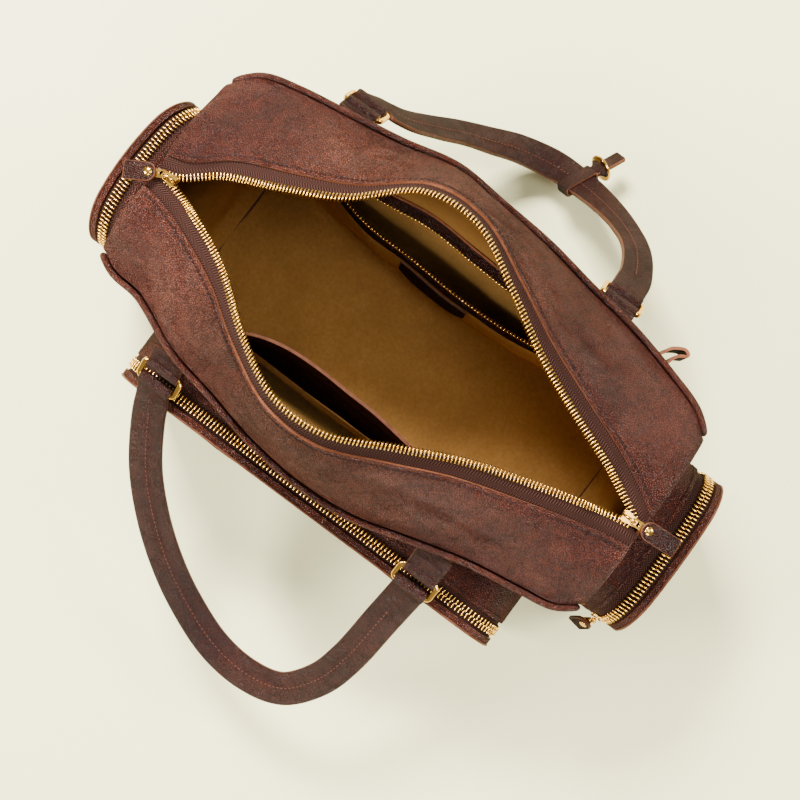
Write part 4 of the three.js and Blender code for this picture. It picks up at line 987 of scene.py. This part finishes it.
def lining_walls():
    top = half_at(BODY_HEIGHT) - LINING_INSET
    grid, under = [], []
    for x in np.linspace(-top, top, 110):
        back, front = lining_section(1, x), lining_section(-1, x)
        low_back, low_front = back[-1][0], -front[-1][0]
        floor = [(mix(low_back, low_front, k), 4.0 + 0.8 * wobble(x, k * 110, 7, 36))
                 for k in np.linspace(0, 1, 18)[1:-1]]
        row, row_under = [], []
        for y, z in [*back, *floor, *[(-y, z) for y, z in reversed(front)]]:
            px = x / top * lining_half(z, LINING_INSET)
            upright = z > LINING_KNEE
            row.append([px, y, z])
            out = 0.8 if y > 0 else -0.8
            row_under.append([px, y + (out if upright else 0), z - (0 if upright else 0.7)])
        grid.append(row)
        under.append(row_under)
    shell("lining_cloth", grid, under, [LINING] * 3, node="lining")


def lining_end(sign, word):
    gap = 3.4
    x_top = sign * (half_at(BODY_HEIGHT) - gap)
    rows, behind = [], []
    for k in np.linspace(0, 1, 30):
        row, row_behind = [], []
        for j in np.linspace(-1, 1, 26):
            side = side_of(j)
            s = Strip(side, x_top)
            y_foot = s.point(0.1, 3.6)[0]
            y_top = abs(j) * y_foot
            start = s.point(0, 0)[0]
            t = clamp((start - y_top) / (start - s.edge[0]))
            z_top = s.point(t, 4.4)[1] - 4.0 * smooth((26 - y_top) / 8)
            z = mix(5.0, z_top, k)
            soft = (1.4 * abs(wobble(j * 60, z, 30 * sign, 26)) + 0.8) * (1 - abs(j) ** 6)
            soft *= smooth(z / 30) * smooth((z_top - z) / 12)
            depth = lining_at(side, x_top, min(z, LINING_TOP))
            if z >= LINING_TOP:
                depth = mix(depth, y_foot, clamp((z - LINING_TOP) / 14))
            half = lining_half(z, gap) - soft
            row.append([sign * half, side * abs(j) * depth, z])
            row_behind.append([sign * (half + 0.7), side * abs(j) * depth, z])
        rows.append(row)
        behind.append(row_behind)
    shell("lining_end_" + word, rows, behind, [LINING] * 3)


lining_walls()
lining_end(-1, "left")
lining_end(1, "right")


# Inner pockets

INNER_HEIGHTS = (120.0, 66.0, 10.0, 2.5)
POCKET_FOOT = 9.0


def swell(x, low, high):
    return max(1 - abs(2 * (x - low) / (high - low) - 1) ** 2.6, 0)


def inside_at(side, x, z):
    """Depth of the lining's room side, straight between its main heights."""
    rows = INNER_HEIGHTS
    i = 0
    while i < len(rows) - 2 and z < rows[i + 1]:
        i += 1
    share = clamp((rows[i] - z) / (rows[i] - rows[i + 1]))
    return mix(lining_at(side, x, rows[i]), lining_at(side, x, rows[i + 1]), share) - 1.8


def slab(name, side, depth, xs, heights, lift, thick, materials, node=None):
    """A sheet on a depth that varies with x and z, lifted into the room."""
    outer, inner = ([[[x, side * (depth(x, z) - off), z] for x in xs] for z in heights]
                    for off in (lift, lift + thick))
    return shell(name, outer, inner, materials, node=node)


def slab_stitches(name, side, depth, xs, z, off, facing):
    path = [[x, side * (depth(x, z) - off), z] for x in xs]
    stitches(name, path, [[0, facing, 0.0]] * len(xs))


SLIP_LEFT, SLIP_RIGHT, SLIP_TOP, SLIP_BAND, SLIP_BULGE = -112.0, 92.0, 118.0, 25.0, 42.0


def slip_pocket():
    def depth(x, z):
        full = swell(x, SLIP_LEFT, SLIP_RIGHT)
        top = inside_at(-1, x, SLIP_TOP) - SLIP_BULGE * full
        low = inside_at(-1, x, POCKET_FOOT) - 2
        share = (z - POCKET_FOOT) / (SLIP_TOP - POCKET_FOOT)
        return min(mix(low, top, share) + 0.8 * wobble(x, z, 11, 32) * full, inside_at(-1, x, z))

    xs = np.linspace(SLIP_LEFT, SLIP_RIGHT, 90)
    seam = SLIP_TOP - SLIP_BAND
    slab("slip_band_leather", -1, depth, xs, np.linspace(seam, SLIP_TOP, 12), 0, 2.0, [HIDE, HIDE, DARK_EDGE],
         node="slip_pocket_band")
    for word, off, z, facing in (("wall", -0.12, SLIP_TOP - 3.4, -1), ("room", 2.12, SLIP_TOP - 3.4, 1),
                                 ("low_wall", -0.12, seam + 3.2, -1)):
        slab_stitches("slip_stitches_" + word, -1, depth, xs, z, off, facing)
    # The cloth's wall side, inside the pocket, takes the dark hide: partly a dark material and partly painted
    # shade.
    slab("slip_cloth", -1, depth, xs, np.linspace(POCKET_FOOT, seam - 0.4, 24), 0.3, 1.2,
         [DARK_HIDE, LINING, LINING], "slip_pocket_panel")


INNER_LEFT, INNER_RIGHT, INNER_FREE, INNER_WALL, INNER_BULGE = -108.0, 96.0, 80.0, 88.0, 20.0
# Columns: share of the height, share of the bulge
BELLY = [(0.0, 0.0), (0.225, 0.32), (0.507, 0.72), (0.746, 0.9), (1.0, 1.0)]


def inner_pocket():
    xs = np.linspace(INNER_LEFT, INNER_RIGHT, 90)

    def depth(x, z):
        full = swell(x, INNER_LEFT, INNER_RIGHT)
        share = (z - POCKET_FOOT) / (INNER_FREE - POCKET_FOOT)
        fall = 3 * math.sin(math.pi * min(z / INNER_FREE, 1)) * full
        calm = smooth((z - POCKET_FOOT) / 20) * smooth((INNER_FREE + 4 - z) / 16)
        wave = wobble(x, z * 1.2, 5, 26) * full * calm
        return inside_at(1, x, z) - INNER_BULGE * full * along(BELLY, 1, share) - fall + wave

    def wall(x, z):
        return inside_at(1, x, z)

    def teeth(name, node, path, shift):
        points, t = march(path, 2.5, 3.0 + shift, 3.0)
        up = np.tile([0.0, -1.0, 0.0], (len(points), 1))
        shape = bevelled_box((1.25, 2.3, 1.9), 0.35, 0.9)
        scatter(name, shape, points, (t, np.cross(t, up), up), TOOTH_GOLD, node)

    trim = [STRAP_HIDE, STRAP_HIDE, EDGE_PAINT]
    # The pocket cloth's wall side, inside the pocket, takes the darkened twill as painted shade.
    slab("inner_pocket_cloth", 1, depth, xs, np.linspace(POCKET_FOOT, INNER_FREE - 8.4, 24), 0, 1.0,
         [SHADED_POCKET_LINING, LINING, LINING], "inner_pocket_panel")
    slab("inner_trim_leather", 1, depth, xs, np.linspace(INNER_FREE - 8, INNER_FREE, 6), 0, 1.6, trim,
         node="inner_pocket_trim")
    slab_stitches("inner_trim_stitches", 1, depth, xs, INNER_FREE - 5.4, 1.7, -1)
    slab("inner_tape_free", 1, depth, xs, np.linspace(INNER_FREE - 1.5, INNER_FREE + 1.6, 3), 0.7, -0.6,
         [TAPE] * 3)
    near = [[x, depth(x, INNER_FREE) - 0.8, INNER_FREE + 1.6] for x in xs]
    teeth("inner_teeth_near", "inner_teeth_free", near, 0.0)
    strip_low, strip_high = INNER_WALL + 3, INNER_WALL + 16
    slab("inner_wall_leather", 1, wall, xs, np.linspace(strip_low, strip_high, 6), 0, 1.4, trim,
         node="inner_pocket_strip")
    for z in (strip_low + 2.6, strip_high - 2.6):
        slab_stitches("inner_wall_stitches_%d" % int(z), 1, wall, xs, z, 1.5, -1)
    slab("inner_tape_wall", 1, wall, xs, np.linspace(INNER_WALL - 0.5, strip_low + 1.0, 3), 0.5, -0.6,
         [TAPE] * 3)
    far = [[x, wall(x, INNER_WALL) - 0.9, INNER_WALL + 1.2] for x in xs]
    teeth("inner_teeth_far", "inner_teeth_wall", far, 1.25)

    def patch(lift):
        rows = []
        for k in np.linspace(0, 1, 10):
            spots = [(x, mix(44 + 14 * abs((x + 11) / 27) ** 2, 70, k)) for x in np.linspace(-38, 16, 28)]
            rows.append([[x, depth(x, z) - 1.35 - lift, z] for x, z in spots])
        return rows

    shell("inner_patch_leather", patch(0), patch(1.2), [DARK_HIDE, DARK_HIDE, EDGE_PAINT], node="inner_patch")


slip_pocket()
inner_pocket()


# Outer pockets


def pocket_outline(centre, width, corner, inset):
    half = width / 2 - inset
    low, high = POCKET_BASE + inset, POCKET_TOP - inset
    bottom = 10 - min(inset, 6)
    r = corner - inset
    points = []

    def arc(ca, cz, radius, start, steps):
        for k in range(steps + 1):
            a = start + (k / steps) * math.pi / 2
            points.append((ca + math.cos(a) * radius, cz + math.sin(a) * radius))

    def line(a0, z0, a1, z1, count):
        for k in range(1, count):
            points.append((mix(a0, a1, k / count), mix(z0, z1, k / count)))

    right, left = centre + half, centre - half
    arc(right - bottom, low + bottom, bottom, -math.pi / 2, 6)
    line(right, low + bottom, right, high - r, 12)
    arc(right - r, high - r, r, 0, 14)
    line(right - r, high, left + r, high, max(int(width / 5), 6))
    arc(left + r, high - r, r, math.pi / 2, 14)
    line(left, high - r, left, low + bottom, 12)
    arc(left + bottom, low + bottom, bottom, math.pi, 6)
    line(left + bottom, low, right - bottom, low, max(int(width / 8), 6))
    return np.asarray(points)


def side_normals(line, closed):
    """Unit normals of a flat outline, pointing out."""
    before, after = np.roll(line, 1, axis=0), np.roll(line, -1, axis=0)
    if not closed:
        before[0], after[-1] = line[0], line[-1]
    run = after - before
    return unit_rows(np.stack([run[:, 1], -run[:, 0]], axis=1))


def chain_row(name, node, path, normals, acrosses):
    """A closed chain of two interlocked rows of teeth."""
    tooth = CHAIN_WIDTH * 0.54
    rows = []
    for sign, shift in ((1, 0.0), (-1, CHAIN_PITCH / 2)):
        points, t, up, cross = march(path, CHAIN_PITCH, 2.0 + shift, 14.0, normals, acrosses)
        rows.append((points + cross * sign * (CHAIN_WIDTH - tooth) / 2, t, -cross * sign, up))
    origins, *axes = (np.concatenate([row[k] for row in rows]) for k in range(4))
    verts, faces = bevelled_box((0.95, tooth, 2.0), 0.28, 0.85)
    lifted = [(x, y, z + 1.0) for x, y, z in verts]
    scatter(name, (lifted, faces), origins, axes, TOOTH_GOLD, node)


# Columns: shrink towards the middle, step in depth, share of the dome
FACE_PROFILE = [
    (0.0, -FACE_LIP, 0.0), (0.0, -FACE_LIP * 0.6, 0.0), (0.0, -2.2, 0.0), (0.004, -1.0, 0.0),
    (0.014, -0.25, 0.02), (0.035, 0.1, 0.08),
    *((mix(0.06, 0.9995, k), 0.1, 0.1 + 0.9 * math.sin(k * math.pi / 2)) for k in np.linspace(0, 1, 22)),
]


def pocket(word, centre, width, corner, rim_margin, chain_at, wall_at, dome, to_world):
    """Rim, tape, chain, stitches and face of a pocket; depths grow away from the body."""
    def rim_at(a, z):
        return chain_at(a, z) - rim_margin

    def lip_at(a, z):
        return chain_at(a, z) + CHAIN_TO_FACE

    def face_at(a, z):
        return lip_at(a, z) + FACE_LIP

    def outline(inset, lowest=-1.0):
        line = pocket_outline(centre, width, corner, inset)
        keep = [k for k in range(len(line)) if line[k][1] > lowest]
        return line[keep[0]:keep[-1] + 1]

    def band(start, stop, inset, count):
        return [[to_world(a, z, mix(start(a, z), stop(a, z), k)) for a, z in outline(inset)]
                for k in np.linspace(0, 1, count)]

    def on_line(line, depth_at, closed=False):
        points, ups = [], []
        for (a, z), (na, nz) in zip(line, side_normals(line, closed)):
            d = depth_at(a, z)
            points.append(to_world(a, z, d))
            ups.append(to_world(a + na, z + nz, d) - points[-1])
        return np.asarray(points), np.asarray(ups)

    shell(word + "_rim_leather", band(wall_at, rim_at, 0, 8), band(wall_at, rim_at, RIM_LEATHER, 8),
          [HIDE, FLESH, EDGE_PAINT], loop=True, node=word + "_rim")
    under = RIM_LEATHER + CLEARANCE
    ends = (lambda a, z: rim_at(a, z) - 1.8), (lambda a, z: lip_at(a, z) + 1.5)
    shell(word + "_tape_weave", band(*ends, under, 9), band(*ends, under + TAPE_THICKNESS, 9), [TAPE] * 3,
          loop=True, node=word + "_tape")

    line = outline(RIM_LEATHER, CHAIN_LOWEST)
    path, normals = on_line(line, chain_at)
    acrosses = [to_world(a, z, 1) - to_world(a, z, 0) for a, z in line]
    chain_row(word + "_teeth", word + "_chain", path, normals, acrosses)
    seam, seam_up = on_line(outline(0, POCKET_BASE + 12), lambda a, z: rim_at(a, z) - 2.7)
    stitches(word + "_rim_stitches", seam, seam_up, lift=0.05)

    middle_z = (POCKET_BASE + POCKET_TOP) / 2

    def rows(extra):
        out = []
        for shrink, step, rise in FACE_PROFILE:
            row = []
            for a, z in outline(extra):
                pa, pz = mix(a, centre, shrink), mix(z, middle_z, shrink)
                soft = (1.3 * wobble(pa, pz, 33, 36) + 0.4 * wobble(pa, pz, 13, 14)) * smooth(shrink / 0.25)
                thick = 0 if step == -FACE_LIP else extra
                depth = mix(face_at(a, z), face_at(pa, pz), smooth(shrink / 0.3))
                row.append(to_world(pa, pz, depth + step + rise * dome + soft - thick))
            out.append(row)
        return out

    shell(word + "_face_leather", rows(0.0), rows(RIM_LEATHER), [HIDE, FLESH, DARK_EDGE], loop=True,
          node=word + "_face")
    bead, outs = on_line(outline(-0.1), lambda a, z: face_at(a, z) - 0.6, closed=True)
    tube(word + "_face_edge", bead - outs * 0.35, 0.75, DARK_EDGE, outs, closed=True)


def on_end(sign):
    return lambda a, z, d: np.array([sign * (half_at(z) + d), a, z])


def on_front(a, z, d):
    return np.array([a, -d, z])


def pocket_slider(word, spot, out, hang, up):
    """A slider at the lower end of a pocket's chain, with its hanging pull."""
    out, rise = unit(out), np.array([0.0, 0.0, 1.0])
    zip_slider(word + "_slider_body", word + "_slider", spot + out, -rise, out, length=9.2, wide=7.4,
               narrow=5.4, plate=1.0, gap=2.4, bridge=3.6)
    eye = spot + out * (2.55 + 2.7) - rise * 2.7
    zip_pull(word + "_pull", word + "_pull_link", word + "_pull_tab", eye, hang, up, 17.0)


END_CENTRE = -4.5
# Columns: word, sign, width, chain at the middle, chain at the sides, rim margin, dome, pull along, pull up
END_POCKETS = [
    ("left_pocket", -1, 106.0, 25.0, 18.0, 7.0, 3.6, (0.2, -0.12, -0.97), (-0.1, -0.99, 0.1)),
    ("right_pocket", 1, 110.0, 28.5, 26.0, 8.5, 4.0, (-0.22, -0.3, -0.93), (-0.1, -0.94, 0.28)),
]
for word, sign, width, chain_mid, chain_side, margin, dome, hang, up in END_POCKETS:
    def chain_depth(a, z, low=chain_side, high=chain_mid, width=width):
        return low + (high - low) * max(1 - (2 * (a - END_CENTRE) / width) ** 2, 0)

    pocket(word, END_CENTRE, width, 26.0, margin, chain_depth, lambda a, z: 0.4, dome, on_end(sign))
    edge = END_CENTRE - width / 2 + RIM_LEATHER
    pocket_slider(word, on_end(sign)(edge, POCKET_SLIDER_HEIGHT, chain_side), (0, -1, 0), hang, up)

FRONT_CENTRE = 8.5
FRONT_WIDTH = 279.0
FRONT_CHAIN = 103.6
pocket("front_pocket", FRONT_CENTRE, FRONT_WIDTH, 22.0, 6.2, lambda a, z: FRONT_CHAIN,
       lambda a, z: panel_at(-1, a, z) - 2.0, 2.0, on_front)
spot = on_front(FRONT_CENTRE - FRONT_WIDTH / 2 + RIM_LEATHER, POCKET_SLIDER_HEIGHT, FRONT_CHAIN)
pocket_slider("front_pocket", spot, (-1, 0, 0), (0, 0, -1), (-1, 0, 0))


# Rings, tabs and handles

RINGS = {
    (-1, "left"): ((-104.0, 100.0), 0.58), (-1, "right"): ((88.5, 106.0), 0.58),
    (1, "left"): ((-102.5, 103.5), 0.9), (1, "right"): ((88.5, 100.5), 0.9),
}
# Reach outwards and drop of the handles
BACK_HANDLE = (174.0, 117.0)
FRONT_HANDLE = (224.0, 78.0)
BAR_REACH = RING_WIDTH / 2 - RING_WIRE / 2
ALONG_X = np.array([1.0, 0.0, 0.0])


def ring_frame(side, hand):
    (x, y), slope = RINGS[side, hand]
    return np.array([x, side * y, RING_HEIGHT]), np.array([0, side * math.cos(slope), -math.sin(slope)])


def ring_bar(side, hand):
    """Middle of a ring's outer bar, with the ring's outward direction and normal."""
    centre, out = ring_frame(side, hand)
    return centre + out * BAR_REACH, out, np.cross(ALONG_X, out)


def ring(side, hand, word):
    centre, out = ring_frame(side, hand)
    normal = np.cross(ALONG_X, out)
    path = rounded(RING_LENGTH / 2 - RING_WIRE / 2, BAR_REACH, 2.8, 8)
    p = np.asarray([centre + ALONG_X * a + out * b for a, b in path])
    side_dir = unit_rows(np.cross(frames_along(p, True), normal))
    rings = []
    for angle in np.linspace(0, 2 * math.pi, 20, endpoint=False):
        c, s = math.cos(angle), math.sin(angle)
        size = RING_WIRE / 2 / (abs(c) ** 3.4 + abs(s) ** 3.4) ** (1 / 3.4)
        rings.append(p + side_dir * c * size + normal * s * size)
    loft("ring_gold_" + word, np.transpose(rings, (1, 0, 2)), [GOLD], True, sharp=70,
         node="ring_" + word)


def ring_tab(side, hand, word):
    centre, out = ring_frame(side, hand)
    b = centre - out * BAR_REACH
    x0, depth = centre[0], abs(b[1])
    first = math.pi * 0.62

    def wall(z):
        return panel_at(side, x0, z) + 0.4

    def bend(a, thick):
        r = RING_WIRE / 2 + CLEARANCE + thick
        return np.array([depth + math.cos(a) * r, b[2] + math.sin(a) * r])

    def layer(thick):
        top, low = b[2] + 9.0, b[2] - 9.0
        start, end = np.array([wall(top) + thick * 0.3, top + thick]), bend(first, thick)
        line = [start * (1 - k) + end * k + np.array([0.5, 0.7]) * math.sin(math.pi * k)
                for k in np.linspace(0, 1, 8)[:-1]]
        line += [bend(first - k / 18 * math.pi * 1.12, thick) for k in range(19)]
        last, foot = line[-1], np.array([wall(low) + thick * 0.3, low - thick])
        return line + [last * (1 - k) + foot * k for k in np.linspace(0, 1, 6)[1:]]

    def grid(thick):
        rough = 0.25 if thick > 1 else 0.0
        xs = np.linspace(x0 - 11.0, x0 + 11.0, 14)
        return [[[x, side * (y + rough * wobble(x, z, 8, 6)), z] for x in xs] for y, z in layer(thick)]

    bevel(shell("ring_tab_leather_" + word, grid(1.9), grid(0.0), [STRAP_HIDE, FLESH, DARK_EDGE], sharp=50,
                node="ring_tab_" + word), 0.3)
    line = layer(1.95)
    tangent = unit(line[4] - line[3])
    up = np.array([0, side * tangent[1], -tangent[0]])
    up = up if up[2] > 0 else -up
    row = [[x, side * line[3][0], line[3][1]] for x in np.linspace(x0 - 9.5, x0 + 9.5, 8)]
    stitches("ring_tab_stitches_" + word, row, [up] * 8, pitch=2.7, ends=0.5)


def handle_point(side, t):
    arch = BACK_ARCH if side > 0 else FRONT_ARCH
    reach, drop = BACK_HANDLE if side > 0 else FRONT_HANDLE
    start = abs(ring_bar(side, "left")[0][1])
    y = mix(start, reach, along(arch, 2, t))
    z = RING_HEIGHT - 4 - drop * along(arch, 3, t)
    return np.array([along(arch, 1, t) * TOP_LENGTH / 2, side * y, z])


def strap_frame(side, t):
    """Point, tangent, width direction and face direction of a strap."""
    e = 0.004
    tangent = unit(handle_point(side, min(t + e, 1)) - handle_point(side, max(t - e, 0)))
    lean = mix(0.12, 1.6 if side > 0 else 0.62, abs(2 * t - 1) ** 1.5)
    width = unit(np.cross(tangent, unit([0, side * lean, 1])))
    return handle_point(side, t), tangent, width, np.cross(width, tangent)


def strap_section(w, h, seam):
    """Outline of a folded strap: two soft halves with the seam between them on the face."""
    points = []
    for a in np.linspace(w - 0.5, -(w - 0.5), 23):
        half = (w - seam) if a > seam else (w + seam)
        mid = (w + seam) / 2 if a > seam else (seam - w) / 2
        pillow = max(1 - ((a - mid) / (half / 2)) ** 2, 0) ** 0.6
        points.append((a, h - 0.55 + 0.55 * pillow))
    edge = [(-w + 0.1, h - 0.9), (-w, h - 1.5), (-w, 1.2 - h), (-w + 0.25, 0.5 - h), (-w + 0.9, -h)]
    under = [(a, -h) for a in np.linspace(-w + 3, w - 3, 7)]
    return points + edge + under + [(-a, b) for a, b in reversed(edge)]


def strap_end(side, hand, outline, source):
    """Sections that lead from the strap's last ring onto the bar of its ring."""
    c, out, n = ring_bar(side, hand)
    up = -1 if n[2] < 0 else 1
    flip = 1 if source[0][0] > source[22][0] else -1
    goal = [c + ALONG_X * flip * a + n * up * (b * 1.3) + out * 3.0 for a, b in outline]
    return [[s * (1 - k) + g * k for s, g in zip(source, goal)] for k in np.linspace(0.2, 1, 5)]


def handle(side, word):
    w, h = STRAP_WIDTH / 2, STRAP_THICKNESS / 2
    seam = 0.8 if side > 0 else -0.6
    outline = strap_section(w, h, seam)
    index = [1 if abs(a) > w - 0.3 and abs(b) < h - 0.6 else 0 for a, b in outline]
    rings, seam_line, seam_up = [], [], []
    for t in np.linspace(0.035, 0.965, 170):
        p, tangent, width, face = strap_frame(side, t)
        buckle = 0.35 * wobble(t * 520, 0, 40 * side, 9) + 0.5 * wobble(t * 520, 9, 40 * side, 30)
        section = []
        for a, b in outline:
            ripple = 0.42 * wobble(t * 560, a * 0.9, 90 * side, 4.6) + 0.3 * buckle if b > 0 else 0.0
            section.append(p + width * a + face * (b + ripple * (1 - abs(a / w) ** 6)))
        rings.append(section)
        seam_line.append(p + width * seam + face * (h - 0.35))
        seam_up.append(face)
    first = strap_end(side, "left", outline, rings[0])
    rings = first[::-1] + rings + strap_end(side, "right", outline, rings[-1])
    loft("handle_leather_" + word, rings, [STRAP_HIDE, DARK_EDGE, STRAP_HIDE], index=index,
         node="handle_" + word)
    stitches("handle_stitches_" + word, seam_line, seam_up, pitch=3.0, length=1.7, width=0.6, height=0.5,
             lift=0.05, ends=9.0, material=LIGHT_THREAD)
    sizes = ((-w, 3.6), (-w + 0.5, 4.1), (-w + 1.4, 4.3), (0, 4.4), (w - 1.4, 4.3), (w - 0.5, 4.1), (w, 3.6))
    for hand in ("left", "right"):
        c, out, n = ring_bar(side, hand)
        outer = [circle(c + ALONG_X * x, out, n, r, r, 28) for x, r in sizes]
        inner = [circle(c + ALONG_X * x, out, n, 1.9, 1.9, 28) for x, r in sizes]
        shell("handle_fold_%s_%s" % (word, hand), outer, inner, [STRAP_HIDE, FLESH, DARK_EDGE], loop=True)


for side, word in ((1, "back"), (-1, "front")):
    for hand in ("left", "right"):
        ring(side, hand, word + "_" + hand)
        ring_tab(side, hand, word + "_" + hand)
    handle(side, word)


def keeper():
    """Band round the back handle, with its tab and the brass cap on it."""
    p, tangent, width, face = strap_frame(1, 0.585)
    away = width * (1 if width[1] > 0 else -1)
    hx, hy = STRAP_WIDTH / 2 + 1.0, STRAP_THICKNESS / 2 + 0.75

    def grid(grow, r, shrink):
        rows = []
        for k in np.linspace(-5.4, 5.4, 9):
            edge = shrink * max(abs(k) - 4.6, 0)
            rows.append([p + tangent * k + width * a * (1 - edge * 0.02) + face * b * (1 - edge * 0.1)
                         for a, b in rounded(hx + grow, hy + grow, r, 6)])
        return rows

    shell("keeper_band", grid(1.4, 1.6, 1), grid(0, 0.8, 0), [STRAP_HIDE, FLESH, EDGE_PAINT], loop=True,
          node="keeper")
    start = hx + 1.4
    far = start + 24
    half, r = 5, 1.2
    outline = [(-half, start - r), (half, start - r), (half, far - r)]
    outline += [(half - r + r * math.cos(a), far - r + r * math.sin(a))
                for a in np.linspace(0.2, math.pi / 2, 5)]
    outline += [(-x, y) for x, y in reversed(outline[2:])]
    axes = [tangent, away, np.cross(tangent, away)]
    if np.dot(axes[2], face) < 0:
        axes = [-tangent, away, np.cross(-tangent, away)]
    plate("keeper_tab", outline, p, axes, -1.4, 1.5, [STRAP_HIDE, EDGE_PAINT], 0.3)
    spot = p + away * (start + 6.5)
    flare = ((-7.2, 5.2, 2.6), (-4.6, 5.5, 2.9), (-2.8, 6.6, 3.6), (-1.6, 8.3, 4.6), (-1.1, 9.0, 5.2))
    rings = [circle(spot + away * d, tangent, face, a, b, 32) for d, a, b in flare]
    loft("keeper_flare", rings, [STRAP_HIDE])
    cap = ((8.8, -0.95), (9.5, -0.8), (9.7, 0.0), (9.4, 0.6), (7.6, 1.1), (5.9, 1.3))
    loft("keeper_snap_cap", [circle(spot + away * d, tangent, face, r, r, 36) for r, d in cap], [GOLD],
         sharp=60, node="keeper_snap")


# Columns: x from the loop's foot, distance from the wall
LOOP_KNOTS = [(0, 0), (3.5, 5.5), (6, 9.2), (12, 12.7), (16, 11.7), (16.2, 9.2), (12.5, 6.8), (10.2, 3.2)]


def back_loop():
    middle = BODY_HEIGHT - 18.0
    at = TOP_LENGTH / 2 - 51.0

    def wall(x):
        return panel_at(1, x, middle) + 1.8

    knots = np.array([(at + x, wall(at) + y) for x, y in LOOP_KNOTS] + [(at + 9, wall(at + 9))])
    last = len(knots) - 1
    line = []
    for k in np.linspace(0, last, 50):
        i = min(int(k), last - 1)
        f = k - i
        p0, p1, p2, p3 = knots[max(i - 1, 0)], knots[i], knots[i + 1], knots[min(i + 2, last)]
        line.append(0.5 * (2 * p1 + (p2 - p0) * f + (2 * p0 - 5 * p1 + 4 * p2 - p3) * f ** 2
                           + (3 * p1 - p0 - 3 * p2 + p3) * f ** 3))
    line = np.asarray(line)
    t = frames_along(line)
    n = np.stack([-t[:, 1], t[:, 0]], axis=1)

    def grid(thick):
        return [[[x, y, middle + z] for z in np.linspace(-10, 10, 12)] for x, y in line + n * thick]

    shell("back_loop_leather", grid(0.35), grid(-1.5), [STRAP_HIDE, DARK_HIDE, EDGE_PAINT], node="back_loop")


keeper()
back_loop()


# Stage, light and camera


def stage():
    size = 3.0
    floor = bpy.data.meshes.new("floor")
    corners = [(-size, -size, 0), (size, -size, 0), (size, size, 0), (-size, size, 0)]
    floor.from_pydata(corners, [], [(0, 1, 2, 3)])
    m = Look("pale_floor", Roughness=0.9, Specular_IOR_Level=0.2)
    spots = m.range(m.noise(m.place, 3.0, 2.0), 0.3, 0.7)
    m.set("Base Color", m.blend(spots, (0.85, 0.82, 0.45), (0.87, 0.84, 0.47)))
    floor.materials.append(m.material)
    piece = bpy.data.objects.new("floor", floor)
    bpy.context.scene.collection.objects.link(piece)


def area_light(name, spot, target_height, size, power):
    data = bpy.data.lights.new(name, "AREA")
    data.shape = "RECTANGLE"
    data.size, data.size_y = size
    data.energy = power
    data.color = (1.0, 0.98, 0.95)
    lamp = bpy.data.objects.new(name, data)
    bpy.context.scene.collection.objects.link(lamp)
    lamp.location = spot
    aim = Vector((0.0, 0.0, target_height)) - Vector(spot)
    lamp.rotation_euler = aim.to_track_quat("-Z", "Y").to_euler()


stage()
area_light("key", (-0.75, 0.55, 1.25), 0.1, (0.45, 0.35), 82.0)
area_light("fill", (0.9, 0.75, 1.2), 0.1, (0.5, 0.5), 28.0)
area_light("rim", (-0.9, -0.7, 1.0), 0.1, (0.5, 0.4), 40.0)
area_light("front_soft", (0.6, -1.1, 1.1), 0.1, (0.7, 0.5), 26.0)
area_light("overhead", (0.25, 0.1, 1.6), 0.05, (0.5, 0.5), 7.0)

world = bpy.data.worlds.new("studio")
world.use_nodes = True
sky = world.node_tree.nodes["Background"]
sky.inputs[0].default_value = (1.0, 0.985, 0.95, 1.0)
sky.inputs[1].default_value = 0.4
bpy.context.scene.world = world

CAMERA_PLACE = (0.0501, -0.0573, 0.883)
CAMERA_RIGHT = (0.8039, 0.5947, -0.0095)
CAMERA_UP = (-0.5933, 0.8028, 0.0594)
CAMERA_FORWARD = (-0.0430, 0.0421, -0.9982)
data = bpy.data.cameras.new("photo_camera")
data.lens = 56.7
data.sensor_width = 36.0
data.clip_start = 0.01
camera = bpy.data.objects.new("photo_camera", data)
bpy.context.scene.collection.objects.link(camera)
turn = Matrix((CAMERA_RIGHT, CAMERA_UP, tuple(-v for v in CAMERA_FORWARD))).transposed()
camera.matrix_world = Matrix.Translation(CAMERA_PLACE) @ turn.to_4x4()
bpy.context.scene.camera = camera
